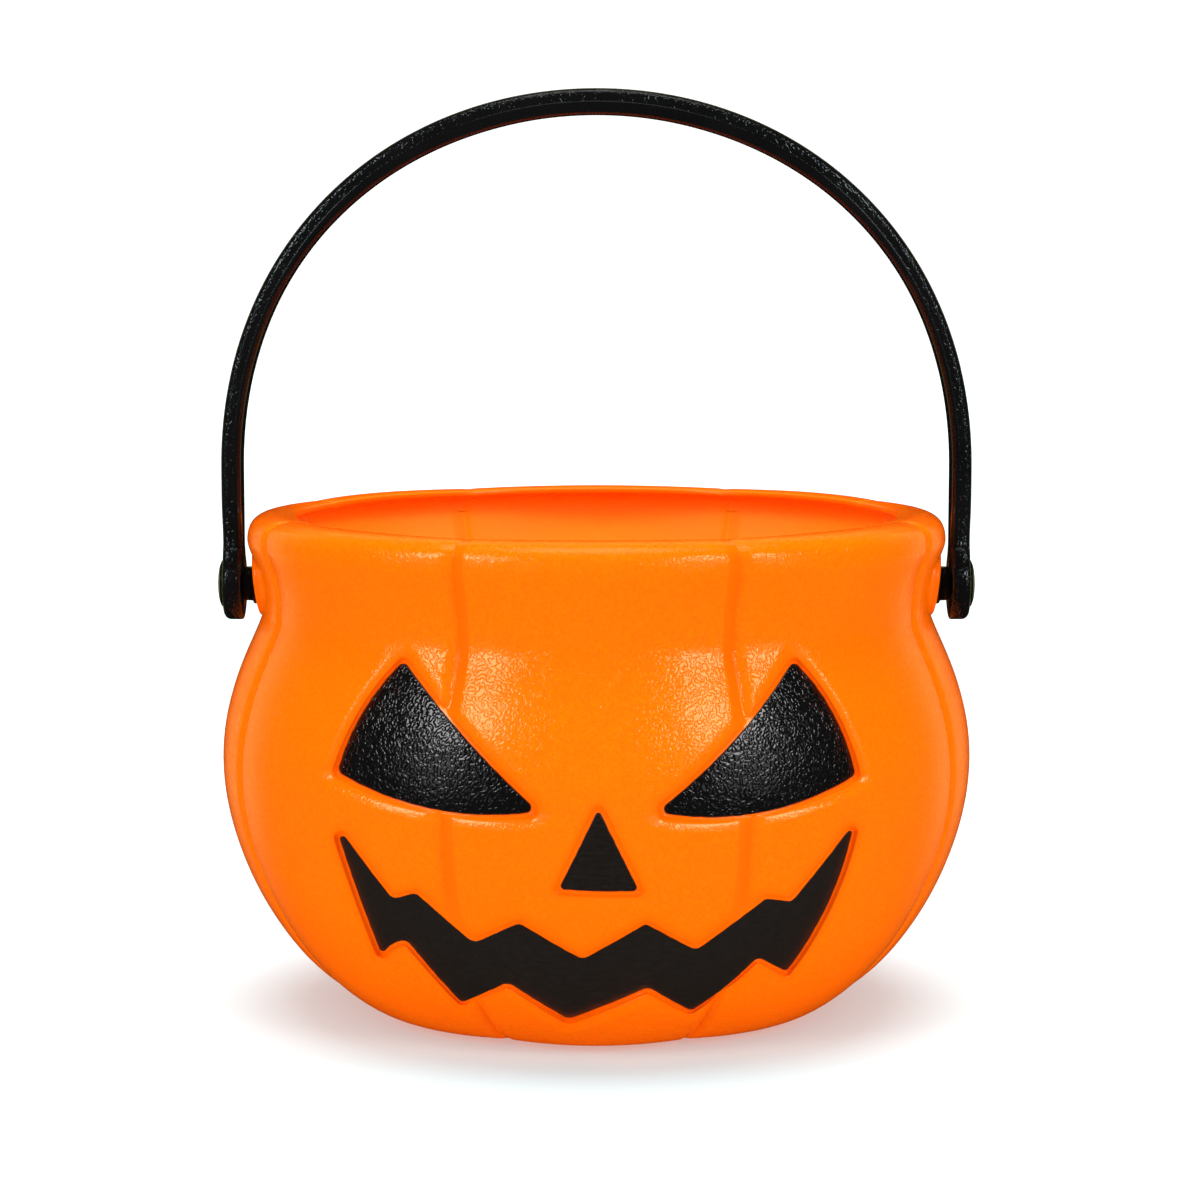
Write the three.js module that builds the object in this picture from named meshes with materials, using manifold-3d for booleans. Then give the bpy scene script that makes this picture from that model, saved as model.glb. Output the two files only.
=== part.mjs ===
// Jack-o'-lantern treat bucket: a fluted plastic pail with a pressed-in face,
// and a black bail handle that swings on a rivet at each side.
// Millimetres, +Z up, the face looks towards -Y, the origin is on the ground
// under the middle of the bucket.

import * as THREE from 'three';
import { mergeVertices } from 'three/addons/utils/BufferGeometryUtils.js';
import Module from 'manifold-3d';

const wasm = await Module();
wasm.setup();

// Wall and outline of the bucket, measured on the crests of its lobes
const WALL = 1.8;
const FOOT_R = 58;
const FOOT_RING_WIDTH = 10;
const PUSH_UP = 4;
const PUSH_UP_SLOPE = 8;
const BELLY_R = 106.15;
const BELLY_Z = 70;
const NECK_R = 94.45;
const NECK_Z = 112.6;
const LIP_R = 98.7;
const LIP_Z = 132;
const LIP_TOP_Z = 139.8;
const LIP_CREST_R = 89.5;
const MOUTH_R = 85;
const MOUTH_DROP = 0.6;

// How far each curve of the outline keeps the direction it starts or ends in
const FOOT_REACH = 23.64;
const LOWER_BELLY_REACH = 30.74;
const UPPER_BELLY_REACH = 22.4;
const BELOW_NECK_REACH = 5.3;
const ABOVE_NECK_REACH = 12;
const BELOW_LIP_REACH = 3.1;
const ABOVE_LIP_REACH = 5.6;
const CREST_REACH = 6.3;

// Grooves between the lobes, as degrees from the middle of the face on each side
const GROOVE_ANGLES = [22.75, 70, 115, 154];
const LOBE_DROOP = 1.9;
const GROOVE_DEPTH = 1.3;
const GROOVE_HALF_ANGLE = 2.6;
const GROOVE_RUN_IN_Z = 22;
const NECK_FLUTE = 0.7;
const LIP_FLUTE = 1.1;
const CREST_FLUTE = 0.55;
const MOUTH_FLUTE = 0.15;

// Face: corners are [x, z, corner radius, bow of the edge to the next corner]
const EYE_DEPTH = 3.6;
const NOSE_DEPTH = 2.6;
const MOUTH_DEPTH = 3.4;
const SHOULDER_WIDTH = 3.2;
const RAMP_WIDTH = 1.1;
const RAMP_SHARE = 0.6;
const PAINT_THICKNESS = 0.5;
const PAINT_GAP = 0.3;
const LEFT_EYE = [
  [-68.0, 77.6, 1.6, 3.3],
  [-14.6, 71.4, 1.5, -0.8],
  [-50.2, 107.3, 1.6, 1.9],
];
const RIGHT_EYE = [
  [15.2, 71.2, 1.5, 3.6],
  [68.2, 76.7, 1.6, 2.1],
  [51.6, 107.2, 1.6, -1.6],
];
const NOSE = [
  [-9.6, 51.1, 1.0, 0.2],
  [11.0, 50.6, 1.0, 0],
  [0.6, 72.6, 0.8, 0],
];
const MOUTH = [
  [-69.0, 64.5, 1.0, 0],
  [-57.2, 27.2, 0.9, -0.4],
  [-50.2, 33.4, 2.2, 0],
  [-35.9, 14.6, 1.3, 0],
  [-23.2, 22.9, 2.8, 0],
  [-7.4, 11.2, 2.4, 0],
  [13.6, 21.9, 2.4, 0],
  [25.2, 13.0, 1.5, 0.5],
  [42.6, 28.9, 2.0, 0],
  [50.6, 22.8, 1.0, 1.9],
  [68.0, 64.4, 0.8, 0],
  [51.2, 44.4, 2.0, 0],
  [44.2, 46.1, 1.6, 0],
  [26.0, 32.6, 2.6, 0],
  [12.8, 41.0, 1.2, 0],
  [-3.6, 30.7, 2.8, 0],
  [-20.0, 41.0, 2.0, 0],
  [-32.0, 34.3, 2.8, 0],
  [-46.9, 47.4, 1.8, 0],
  [-53.4, 44.9, 2.2, 0],
];

// Round pads on both sides that carry the handle
const PIVOT_ABOVE_NECK = 6.4;
const PAD_R = 9.3;
const PAD_PROUD = 2;
const PAD_TILT = 7.1;
const PAD_DRAFT = 0.8;
const PAD_EDGE = 0.6;
const PAD_ROOT = 8;
const SEAT_DEPTH = 0.7;
const SEAT_CLEARANCE = 0.4;
const POCKET_R = 7.5;
const POCKET_DEEP = 10;

// Rivet and the flanged bush that it holds on the pad
const GAP = 0.3;
const SHANK_R = 3;
const HEAD_R = 6.5;
const HEAD_EDGE = 0.8;
const HEAD_HEIGHT = 1.4;
const BARB_R = 4.2;
const BARB_LENGTH = 4.8;
const TIP_R = 2.2;
const SPLIT_WIDTH = 1.2;
const SPLIT_LENGTH = 7;
const FLANGE_R = 5.75;
const FLANGE_THICKNESS = 1.2;
const BARREL_R = 4.8;
const BARREL_FILLET = 0.8;

// Handle: a bar with a sunk grip panel on both faces and an eye at each end
const LEG_CLEARANCE = 1.4;
const SHORTEST_BARREL = 1.5;
const EYE_R = 10.2;
const EYE_THICKNESS = 5.4;
const EYE_EDGE = 1.2;
const BAR_DEPTH = 11.5;
const LEG_THICKNESS = 5.7;
const GRIP_THICKNESS = 7.3;
const HANDLE_RISE = 139;
const LEG_RISE = 32.8;
const SHOULDER_REACH = 62.8;
const CROWN_REACH = 59;
const BAR_EDGE = 1.1;
const PANEL_WIDTH = 2.5;
const PANEL_SINK = 0.3;
const BAR_TAPER = 0.8;
const BAR_INNER_EDGE = 0.6;
const EYE_LAP = 4;

// Fineness of the curves
const ROUND_SEGMENTS = 24;
const FLOOR_SEGMENTS = 48;
const ARCH_STEPS = 16;
const EDGE_STEP = 10.5;
const TURN_STEP = 80;

const ORANGE = new THREE.MeshStandardMaterial({ color: 0xff6f08, roughness: 0.38, metalness: 0 });
const PAINT = new THREE.MeshStandardMaterial({ color: 0x0d0d0e, roughness: 0.42, metalness: 0 });
const BLACK = new THREE.MeshStandardMaterial({ color: 0x121111, roughness: 0.34, metalness: 0 });

const radians = THREE.MathUtils.degToRad;
const vec2 = (x, y) => new THREE.Vector2(x, y);

const PIVOT_Z = NECK_Z + PIVOT_ABOVE_NECK;
const PAD_X = NECK_R + PAD_PROUD;
const SEAT_X = PAD_X - SEAT_DEPTH;
const FLANGE_X = SEAT_X + GAP + FLANGE_THICKNESS;
const EYE_X = Math.max(LIP_R + LEG_CLEARANCE, FLANGE_X + SHORTEST_BARREL);
const HEAD_X = EYE_X + EYE_THICKNESS + GAP;
const HOLE_R = SHANK_R + GAP;

// Turns a closed geometry into a solid that can be cut and joined
function toSolid(geometry) {
  const bare = geometry.clone();
  bare.deleteAttribute('normal');
  bare.deleteAttribute('uv');
  const welded = mergeVertices(bare);
  const corners = Array.from(welded.index.array);
  const triangles = [];
  for (let i = 0; i < corners.length; i += 3) {
    const [a, b, c] = corners.slice(i, i + 3);
    if (a !== b && b !== c && c !== a) triangles.push(a, b, c);
  }
  return new wasm.Manifold(new wasm.Mesh({
    numProp: 3,
    vertProperties: Float32Array.from(welded.attributes.position.array),
    triVerts: Uint32Array.from(triangles),
  }));
}

function toGeometry(solid) {
  const { vertProperties, triVerts } = solid.getMesh();
  const geometry = new THREE.BufferGeometry();
  geometry.setAttribute('position', new THREE.BufferAttribute(vertProperties, 3));
  geometry.setIndex(new THREE.BufferAttribute(triVerts, 1));
  geometry.computeVertexNormals();
  return geometry;
}

function piece(name, solid, material) {
  const mesh = new THREE.Mesh(toGeometry(solid), material);
  mesh.name = name;
  return mesh;
}

// Closed skin through rings with equally many points, capped with the given flat outline
function loft(rings, capOutline) {
  const count = capOutline.length;
  const positions = rings.flat().flatMap((point) => point.toArray());
  const index = [];
  for (let ring = 0; ring + 1 < rings.length; ring += 1) {
    for (let i = 0; i < count; i += 1) {
      const a = ring * count + i;
      const b = ring * count + (i + 1) % count;
      index.push(a, b, b + count, a, b + count, a + count);
    }
  }
  const last = (rings.length - 1) * count;
  for (const [a, b, c] of THREE.ShapeUtils.triangulateShape(capOutline, [])) {
    index.push(a, c, b, last + a, last + b, last + c);
  }
  const geometry = new THREE.BufferGeometry();
  geometry.setAttribute('position', new THREE.Float32BufferAttribute(positions, 3));
  geometry.setIndex(index);
  return geometry;
}

// Turned part on an axis along X: profile points are (distance along X, radius)
function turnedAlongX(profile, segments = ROUND_SEGMENTS) {
  const points = profile.map(([along, radius]) => vec2(radius, along));
  return new THREE.LatheGeometry(points, segments).rotateZ(-Math.PI / 2);
}

// Outline of the bucket wall from the middle of its base to the trimmed mouth.
// Each station holds a point, the outward normal and the strength of the flutes there.
function wallStations(fineness) {
  const foot = new THREE.CubicBezierCurve(
    vec2(FOOT_R, 0), vec2(FOOT_R + FOOT_REACH, 0),
    vec2(BELLY_R, BELLY_Z - LOWER_BELLY_REACH), vec2(BELLY_R, BELLY_Z));
  const shoulder = new THREE.CubicBezierCurve(
    vec2(BELLY_R, BELLY_Z), vec2(BELLY_R, BELLY_Z + UPPER_BELLY_REACH),
    vec2(NECK_R, NECK_Z - BELOW_NECK_REACH), vec2(NECK_R, NECK_Z));
  const flare = new THREE.CubicBezierCurve(
    vec2(NECK_R, NECK_Z), vec2(NECK_R, NECK_Z + ABOVE_NECK_REACH),
    vec2(LIP_R, LIP_Z - BELOW_LIP_REACH), vec2(LIP_R, LIP_Z));
  const roll = new THREE.CubicBezierCurve(
    vec2(LIP_R, LIP_Z), vec2(LIP_R, LIP_Z + ABOVE_LIP_REACH),
    vec2(LIP_CREST_R + CREST_REACH, LIP_TOP_Z), vec2(LIP_CREST_R, LIP_TOP_Z));
  const bore = FOOT_R - FOOT_RING_WIDTH;

  const stations = [
    { point: vec2(0, PUSH_UP), normal: vec2(0, -1), flute: 0 },
    { point: vec2(bore - PUSH_UP_SLOPE, PUSH_UP), normal: vec2(0, -1), flute: 0 },
    { point: vec2(bore, 0), normal: vec2(0, -1), flute: 0 },
  ];
  const follow = (curve, steps, fluteFrom, fluteTo) => {
    for (let i = 0; i <= steps; i += 1) {
      if (i === 0 && curve !== foot) continue;
      const share = i / steps;
      const point = curve.getPoint(share);
      const tangent = curve.getTangent(share);
      const runIn = Math.sin(Math.PI / 2 * Math.min(1, point.y / GROOVE_RUN_IN_Z));
      const flute = runIn * THREE.MathUtils.lerp(fluteFrom, fluteTo, share);
      stations.push({ point, normal: vec2(tangent.y, -tangent.x), flute });
    }
  };
  follow(foot, Math.round(7 * fineness), 1, 1);
  follow(shoulder, Math.round(5 * fineness), 1, NECK_FLUTE);
  follow(flare, Math.round(4 * fineness), NECK_FLUTE, LIP_FLUTE);
  follow(roll, Math.round(4 * fineness), LIP_FLUTE, CREST_FLUTE);
  return stations;
}

const GROOVES = [...GROOVE_ANGLES.map((angle) => 360 - angle), ...GROOVE_ANGLES].sort((a, b) => a - b);

// Lobe that holds an angle: its middle and half width, in degrees from the middle of the face
function lobeAt(angle) {
  const turn = THREE.MathUtils.euclideanModulo(angle, 360);
  const next = GROOVES.findIndex((groove) => groove > turn);
  const right = next < 0 ? GROOVES[0] + 360 : GROOVES[next];
  const left = next > 0 ? GROOVES[next - 1] : GROOVES.at(-1) - (next < 0 ? 0 : 360);
  return { middle: (left + right) / 2, half: (right - left) / 2, offset: turn - (left + right) / 2 };
}

// Depth of the flutes at an angle: each lobe droops from its crest, and ends in a narrow groove
function fluteDepth(angle) {
  const { half, offset } = lobeAt(angle);
  const toGroove = half - Math.abs(offset);
  const groove = Math.max(0, 1 - toGroove / GROOVE_HALF_ANGLE);
  return LOBE_DROOP * (offset / half) ** 2 + GROOVE_DEPTH * groove ** 2;
}

// Angles round the bucket: shares of each lobe's half width, close together at the grooves
function fluteAngles(shares, grooveShares) {
  const angles = GROOVES.flatMap((groove) => {
    const { middle, half } = lobeAt(groove);
    const start = middle - half;
    const near = grooveShares.map((share) => share * GROOVE_HALF_ANGLE);
    const inner = shares.map((share) => half * (1 + share));
    return [0, ...near, ...inner, ...near.map((step) => 2 * half - step).reverse()]
      .map((step) => start + step);
  });
  return [...angles, angles[0] + 360];
}

function ringPoint(radius, angle, z) {
  const turn = radians(angle);
  return [radius * Math.sin(turn), -radius * Math.cos(turn), z];
}

// Solid inside the fluted wall, a given depth under its outer skin
function flutedSolid(stations, angles, inset) {
  const blank = new THREE.LatheGeometry(stations.map(({ point }) => point), angles.length - 1);
  angles.forEach((angle, turn) => {
    stations.forEach(({ point, normal, flute }, row) => {
      const sink = inset + flute * fluteDepth(angle);
      const place = ringPoint(point.x - normal.x * sink, angle, point.y - normal.y * sink);
      blank.attributes.position.setXYZ(turn * stations.length + row, ...place);
    });
  });
  return toSolid(blank);
}

const onAxis = (z) => ({ point: vec2(0, z), normal: vec2(0, 0), flute: 0 });

const WALL_STATIONS = wallStations(1);
const CAVITY_STATIONS = wallStations(0.55);

// Radius of the unfluted wall at a height, a given depth under its skin
function wallRadius(z, inset) {
  const rows = WALL_STATIONS.map(({ point, normal, flute }) => (
    { r: point.x - normal.x * inset, z: point.y - normal.y * inset, flute }));
  const above = rows.findIndex((row, i) => i > 2 && row.z >= z);
  const low = rows[above - 1];
  const high = rows[above];
  const share = (z - low.z) / (high.z - low.z);
  return {
    radius: THREE.MathUtils.lerp(low.r, high.r, share),
    flute: THREE.MathUtils.lerp(low.flute, high.flute, share),
  };
}

// Smooth unfluted body a given depth under the skin, which the floors of the face follow
function floorSolid(inset) {
  const points = CAVITY_STATIONS.map(({ point, normal }) => (
    vec2(Math.max(0, point.x - normal.x * inset), point.y - normal.y * inset)));
  const top = points.at(-1).y;
  return toSolid(new THREE.LatheGeometry([...points, vec2(0, top)], FLOOR_SEGMENTS).rotateX(Math.PI / 2));
}

// Outline through rounded corners, grown outwards by a margin; edges may bow
function roundedOutline(corners, grow) {
  const places = corners.map(([x, z]) => vec2(x, z));
  const edges = places.map((from, i) => {
    const chord = places[(i + 1) % places.length].clone().sub(from);
    const bend = Math.atan(4 * corners[i][3] / chord.length());
    return {
      length: chord.length(),
      leaving: chord.clone().normalize().rotateAround(vec2(0, 0), -bend),
      arriving: chord.clone().normalize().rotateAround(vec2(0, 0), bend),
      outward: vec2(chord.y, -chord.x).normalize(),
      bow: corners[i][3],
    };
  });
  const arcs = places.map((place, i) => {
    const arriving = edges.at(i - 1).arriving;
    const leaving = edges[i].leaving;
    const before = vec2(arriving.y, -arriving.x);
    const after = vec2(leaving.y, -leaving.x);
    const turn = Math.atan2(arriving.cross(leaving), arriving.dot(leaving));
    const side = Math.sign(turn);
    const radius = Math.max(corners[i][2] + side * grow, GAP);
    const mitre = before.clone().add(after).divideScalar(1 + before.dot(after));
    const centre = place.clone().addScaledVector(mitre, grow - side * radius);
    const steps = Math.max(1, Math.ceil(Math.abs(turn) / radians(TURN_STEP)));
    return Array.from({ length: steps + 1 }, (_, step) => (
      before.clone().rotateAround(vec2(0, 0), turn * step / steps)
        .multiplyScalar(side * radius).add(centre)));
  });
  return arcs.flatMap((arc, i) => {
    const { length, outward, bow } = edges[i];
    const start = arc.at(-1);
    const end = arcs[(i + 1) % arcs.length][0];
    const middle = start.clone().lerp(end, 0.5).addScaledVector(outward, 2 * bow);
    const steps = Math.ceil(length / EDGE_STEP);
    const edge = new THREE.QuadraticBezierCurve(start, middle, end);
    return [...arc, ...edge.getPoints(steps).slice(1, -1)];
  });
}

// Places the outline on the front of the wall; the inset is a function of the flutes there
function outlineOnWall(outline, inset) {
  return outline.map(({ x, y: z }) => {
    const skin = wallRadius(z, 0);
    const angle = THREE.MathUtils.radToDeg(Math.asin(x / skin.radius));
    const { radius } = wallRadius(z, inset(skin.flute * fluteDepth(angle)));
    return new THREE.Vector3(x, -Math.sqrt(radius ** 2 - x ** 2), z);
  });
}

// Tool for one feature of the face: steep ramp at the floor, then a soft shoulder to the skin.
// The same tool, further under the skin, keeps the wall whole behind the feature.
function faceTool(corners, depth, under) {
  const floorOutline = roundedOutline(corners, under);
  const rampOutline = roundedOutline(corners, under + RAMP_WIDTH);
  const rimOutline = roundedOutline(corners, under + RAMP_WIDTH + SHOULDER_WIDTH);
  const floor = depth + under;
  const rings = [
    outlineOnWall(floorOutline, () => floor + WALL / 2),
    outlineOnWall(floorOutline, () => floor),
    outlineOnWall(rampOutline, (flute) => THREE.MathUtils.lerp(floor, under + flute, RAMP_SHARE)),
    outlineOnWall(rimOutline, (flute) => under + flute - PAINT_GAP / 2),
    rimOutline.map(({ x, y: z }) => new THREE.Vector3(x, -2 * BELLY_R, z)),
  ];
  if (under > 0) rings.splice(2, 1);
  return toSolid(loft(rings, rimOutline)).subtract(floorSolid(floor));
}

// Coat of paint that covers a floor, a little short of the wall round it
function paintCoat(corners, depth) {
  const outline = roundedOutline(corners, -PAINT_GAP);
  const column = toSolid(loft([
    outlineOnWall(outline, () => depth + WALL),
    outline.map(({ x, y: z }) => new THREE.Vector3(x, -2 * BELLY_R, z)),
  ], outline));
  const underside = depth - PAINT_GAP;
  return column
    .intersect(floorSolid(underside - PAINT_THICKNESS))
    .subtract(floorSolid(underside));
}

const FEATURES = [
  { name: 'left_eye_paint', corners: LEFT_EYE, depth: EYE_DEPTH },
  { name: 'right_eye_paint', corners: RIGHT_EYE, depth: EYE_DEPTH },
  { name: 'nose_paint', corners: NOSE, depth: NOSE_DEPTH },
  { name: 'mouth_paint', corners: MOUTH, depth: MOUTH_DEPTH },
];

// Raised pad with a vertical seat for the bush; side is 1 on the right and -1 on the left
function pad(side) {
  const tilt = radians(PAD_TILT);
  const blank = turnedAlongX([
    [-PAD_ROOT, 0],
    [-PAD_ROOT, PAD_R + PAD_DRAFT],
    [-PAD_EDGE, PAD_R],
    [0, PAD_R - PAD_EDGE],
    [0, 0],
  ]);
  blank.rotateY(tilt).translate(PAD_X, 0, PIVOT_Z);
  return toSolid(side > 0 ? blank : blank.rotateZ(Math.PI));
}

function disc(radius, fromX, toX, side) {
  const blank = turnedAlongX([[fromX, 0], [fromX, radius], [toX, radius], [toX, 0]]);
  blank.translate(0, 0, PIVOT_Z);
  return toSolid(side > 0 ? blank : blank.rotateZ(Math.PI));
}

function bucket() {
  const angles = fluteAngles([-0.62, -0.32, 0, 0.32, 0.62], [0.45, 1]);
  const mouth = WALL_STATIONS.at(-1);
  const curl = {
    point: vec2(MOUTH_R - WALL, mouth.point.y - MOUTH_DROP),
    normal: vec2(0, 1),
    flute: MOUTH_FLUTE,
  };
  let body = flutedSolid([...WALL_STATIONS, curl, onAxis(curl.point.y)], angles, 0);

  const cavityAngles = fluteAngles([-0.5, 0, 0.5], [1]);
  const trim = { ...curl, point: vec2(MOUTH_R, curl.point.y) };
  const above = { ...trim, point: vec2(MOUTH_R, LIP_TOP_Z + 2 * WALL), flute: 0 };
  const cavityStations = [...CAVITY_STATIONS, trim, above, onAxis(above.point.y - WALL)];
  let cavity = flutedSolid(cavityStations, cavityAngles, WALL);

  for (const { corners, depth } of FEATURES) {
    body = body.subtract(faceTool(corners, depth, 0));
    cavity = cavity.subtract(faceTool(corners, depth, WALL));
  }
  for (const side of [1, -1]) {
    body = body.add(pad(side));
    body = body.subtract(disc(FLANGE_R + SEAT_CLEARANCE, SEAT_X, PAD_X + PAD_ROOT, side));
    cavity = cavity.add(disc(POCKET_R, SEAT_X - WALL - POCKET_DEEP, SEAT_X - WALL, side));
    cavity = cavity.add(disc(HOLE_R, SEAT_X - 2 * WALL, PAD_X + PAD_ROOT, side));
  }
  return piece('bucket', body.subtract(cavity), ORANGE);
}

const SIDES = [{ side: -1, name: 'left' }, { side: 1, name: 'right' }];

// Everything on the pivots is turned on the right side and spun half a turn for the left
function onSide(geometry, side) {
  const placed = side > 0 ? geometry : geometry.rotateZ(Math.PI);
  return placed.translate(0, 0, PIVOT_Z);
}

// Bush that keeps the handle clear of the lip: barrel with a flange in the pad's seat
function flangedBush({ side, name }) {
  const bush = turnedAlongX([
    [SEAT_X + GAP, HOLE_R],
    [SEAT_X + GAP, FLANGE_R],
    [FLANGE_X, FLANGE_R],
    [FLANGE_X, BARREL_R + BARREL_FILLET],
    [FLANGE_X + BARREL_FILLET, BARREL_R],
    [EYE_X - GAP, BARREL_R],
    [EYE_X - GAP, HOLE_R],
    [SEAT_X + GAP, HOLE_R],
  ]);
  return piece(`${name}_flanged_bush`, toSolid(onSide(bush, side)), BLACK);
}

// Rivet through eye, bush and wall: domed head outside, split barbed tip inside the bucket
function pivotRivet({ side, name }) {
  const inside = SEAT_X - WALL - GAP;
  const top = HEAD_X + HEAD_HEIGHT;
  const crown = HEAD_R - HEAD_EDGE;
  const rivet = turnedAlongX([
    [inside - BARB_LENGTH, 0],
    [inside - BARB_LENGTH, TIP_R],
    [inside - BARB_R / 2, BARB_R],
    [inside, BARB_R],
    [inside, SHANK_R],
    [HEAD_X, SHANK_R],
    [HEAD_X, HEAD_R],
    [HEAD_X + HEAD_EDGE / 2, HEAD_R],
    [HEAD_X + HEAD_HEIGHT / 2, crown],
    [top - HEAD_HEIGHT / 6, crown * 0.6],
    [top, 0],
  ]);
  const slot = new THREE.BoxGeometry(SPLIT_LENGTH, 3 * BARB_R, SPLIT_WIDTH);
  slot.translate(inside - BARB_LENGTH + SPLIT_LENGTH / 2 - GAP, 0, 0);
  const solid = toSolid(onSide(rivet, side)).subtract(toSolid(onSide(slot, side)));
  return piece(`${name}_pivot_rivet`, solid, BLACK);
}

// Section of the bar: u runs from its outer face inwards, v from its back to its front
function barSection(thickness, depth, sink) {
  const half = depth / 2;
  const back = [
    [0, BAR_EDGE - half],
    [BAR_EDGE, -half],
    [BAR_EDGE + sink / 2, sink - half],
    [BAR_EDGE + PANEL_WIDTH, sink - half],
    [BAR_EDGE + PANEL_WIDTH + sink / 2, -half],
    [thickness - BAR_INNER_EDGE, BAR_TAPER - half],
    [thickness, BAR_TAPER + BAR_INNER_EDGE - half],
  ];
  const front = back.map(([u, v]) => [u, -v]).reverse();
  return [...back, ...front].map(([u, v]) => vec2(u, v));
}

// Bar of the handle, swept up one leg, over the arch and down the other leg
function handleBar() {
  const legX = EYE_X + LEG_THICKNESS;
  const springZ = PIVOT_Z + LEG_RISE;
  const crownZ = PIVOT_Z + HANDLE_RISE;
  const arch = new THREE.CubicBezierCurve(
    vec2(legX, springZ), vec2(legX, springZ + SHOULDER_REACH),
    vec2(CROWN_REACH, crownZ), vec2(0, crownZ));

  const stepZ = PIVOT_Z + EYE_R + GAP;
  const rootZ = stepZ - EYE_LAP;
  const eyeOuter = EYE_X + EYE_THICKNESS;
  const up = vec2(0, 1);
  const half = [
    { outer: vec2(eyeOuter - GAP, rootZ), along: up, thickness: EYE_THICKNESS - 2 * GAP, sink: 0 },
    { outer: vec2(eyeOuter - GAP, stepZ), along: up, thickness: EYE_THICKNESS - GAP, sink: 0 },
    { outer: vec2(eyeOuter, stepZ + GAP), along: up, thickness: EYE_THICKNESS, sink: PANEL_SINK },
    { outer: vec2(legX, (stepZ + springZ) / 2), along: up, thickness: LEG_THICKNESS, sink: PANEL_SINK },
  ];
  for (let i = 0; i <= ARCH_STEPS; i += 1) {
    const share = i / ARCH_STEPS;
    const swell = THREE.MathUtils.smoothstep(share, 0.25, 0.85);
    half.push({
      outer: arch.getPointAt(share),
      along: arch.getTangentAt(share),
      thickness: THREE.MathUtils.lerp(LEG_THICKNESS, GRIP_THICKNESS, swell),
      sink: PANEL_SINK,
    });
  }
  const mirrored = half.slice(0, -1).reverse().map((row) => ({
    ...row,
    outer: vec2(-row.outer.x, row.outer.y),
    along: vec2(row.along.x, -row.along.y),
  }));
  const rings = [...half, ...mirrored].map(({ outer, along, thickness, sink }) => {
    const inward = vec2(-along.y, along.x);
    return barSection(thickness, BAR_DEPTH, sink).map(({ x: u, y: v }) => (
      new THREE.Vector3(outer.x + inward.x * u, -v, outer.y + inward.y * u)));
  });
  return toSolid(loft(rings, barSection(EYE_THICKNESS, BAR_DEPTH, PANEL_SINK)));
}

function handleEye(side) {
  const outer = EYE_X + EYE_THICKNESS;
  const eye = turnedAlongX([
    [EYE_X, HOLE_R],
    [EYE_X, EYE_R - GAP],
    [EYE_X + GAP, EYE_R],
    [outer - EYE_EDGE, EYE_R],
    [outer - EYE_EDGE / 3, EYE_R - EYE_EDGE / 3],
    [outer, EYE_R - EYE_EDGE],
    [outer, HOLE_R],
    [EYE_X, HOLE_R],
  ], ROUND_SEGMENTS + 8);
  return toSolid(onSide(eye, side));
}

function handle() {
  let solid = handleBar();
  for (const { side } of SIDES) solid = solid.add(handleEye(side));
  return piece('handle', solid, BLACK);
}

const object = new THREE.Group();
object.name = 'halloween_bucket';
object.add(bucket());
for (const { name, corners, depth } of FEATURES) object.add(piece(name, paintCoat(corners, depth), PAINT));
for (const side of SIDES) object.add(flangedBush(side), pivotRivet(side));
object.add(handle());

export default object;
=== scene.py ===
# Looks of the jack-o'-lantern treat bucket, built round its packed construction model.
# Lengths are in millimetres until a mesh is finished, and each finished mesh is in metres.
# +Z is up, the face looks towards -Y, and angles round the bucket count from the middle of the face.
import math
from bisect import bisect_left
from functools import lru_cache

import bmesh
import bpy
from mathutils import Matrix, Vector, noise
from mathutils.geometry import interpolate_bezier


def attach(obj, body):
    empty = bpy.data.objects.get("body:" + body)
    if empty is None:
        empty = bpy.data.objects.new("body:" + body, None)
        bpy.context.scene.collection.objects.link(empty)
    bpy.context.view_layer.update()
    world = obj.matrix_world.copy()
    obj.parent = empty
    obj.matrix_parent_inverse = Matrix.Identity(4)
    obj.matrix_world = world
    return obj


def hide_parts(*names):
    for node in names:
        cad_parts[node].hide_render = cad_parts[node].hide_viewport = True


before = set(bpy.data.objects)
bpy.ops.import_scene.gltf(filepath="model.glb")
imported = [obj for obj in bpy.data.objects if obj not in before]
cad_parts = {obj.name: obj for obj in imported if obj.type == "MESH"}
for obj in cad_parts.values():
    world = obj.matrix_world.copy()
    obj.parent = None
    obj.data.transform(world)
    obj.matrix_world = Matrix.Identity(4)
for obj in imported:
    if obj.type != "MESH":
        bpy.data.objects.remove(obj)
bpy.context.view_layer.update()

MM = 0.001

# Wall and outline of the bucket, on the crests of its lobes
WALL = 1.8
FOOT_R = 58
FOOT_RING_WIDTH = 10
PUSH_UP = 4
PUSH_UP_SLOPE = 8
BELLY_R = 106.15
BELLY_Z = 70
NECK_R = 94.45
NECK_Z = 112.6
LIP_R = 98.7
LIP_Z = 132
LIP_TOP_Z = 139.8
LIP_CREST_R = 89.5
MOUTH_R = 85
MOUTH_DROP = 0.45
MOUTH_ROUNDING = 0.5
MOUTH_ROUNDING_SHARE = 0.3
MOUTH_LEAD = 2.2
MOUTH_LEAD_RISE = 0.14
FOOT_REACH = 23.64
LOWER_BELLY_REACH = 30.74
UPPER_BELLY_REACH = 22.4
BELOW_NECK_REACH = 5.3
ABOVE_NECK_REACH = 12
BELOW_LIP_REACH = 3.1
ABOVE_LIP_REACH = 5.6
CREST_REACH = 6.3

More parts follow.
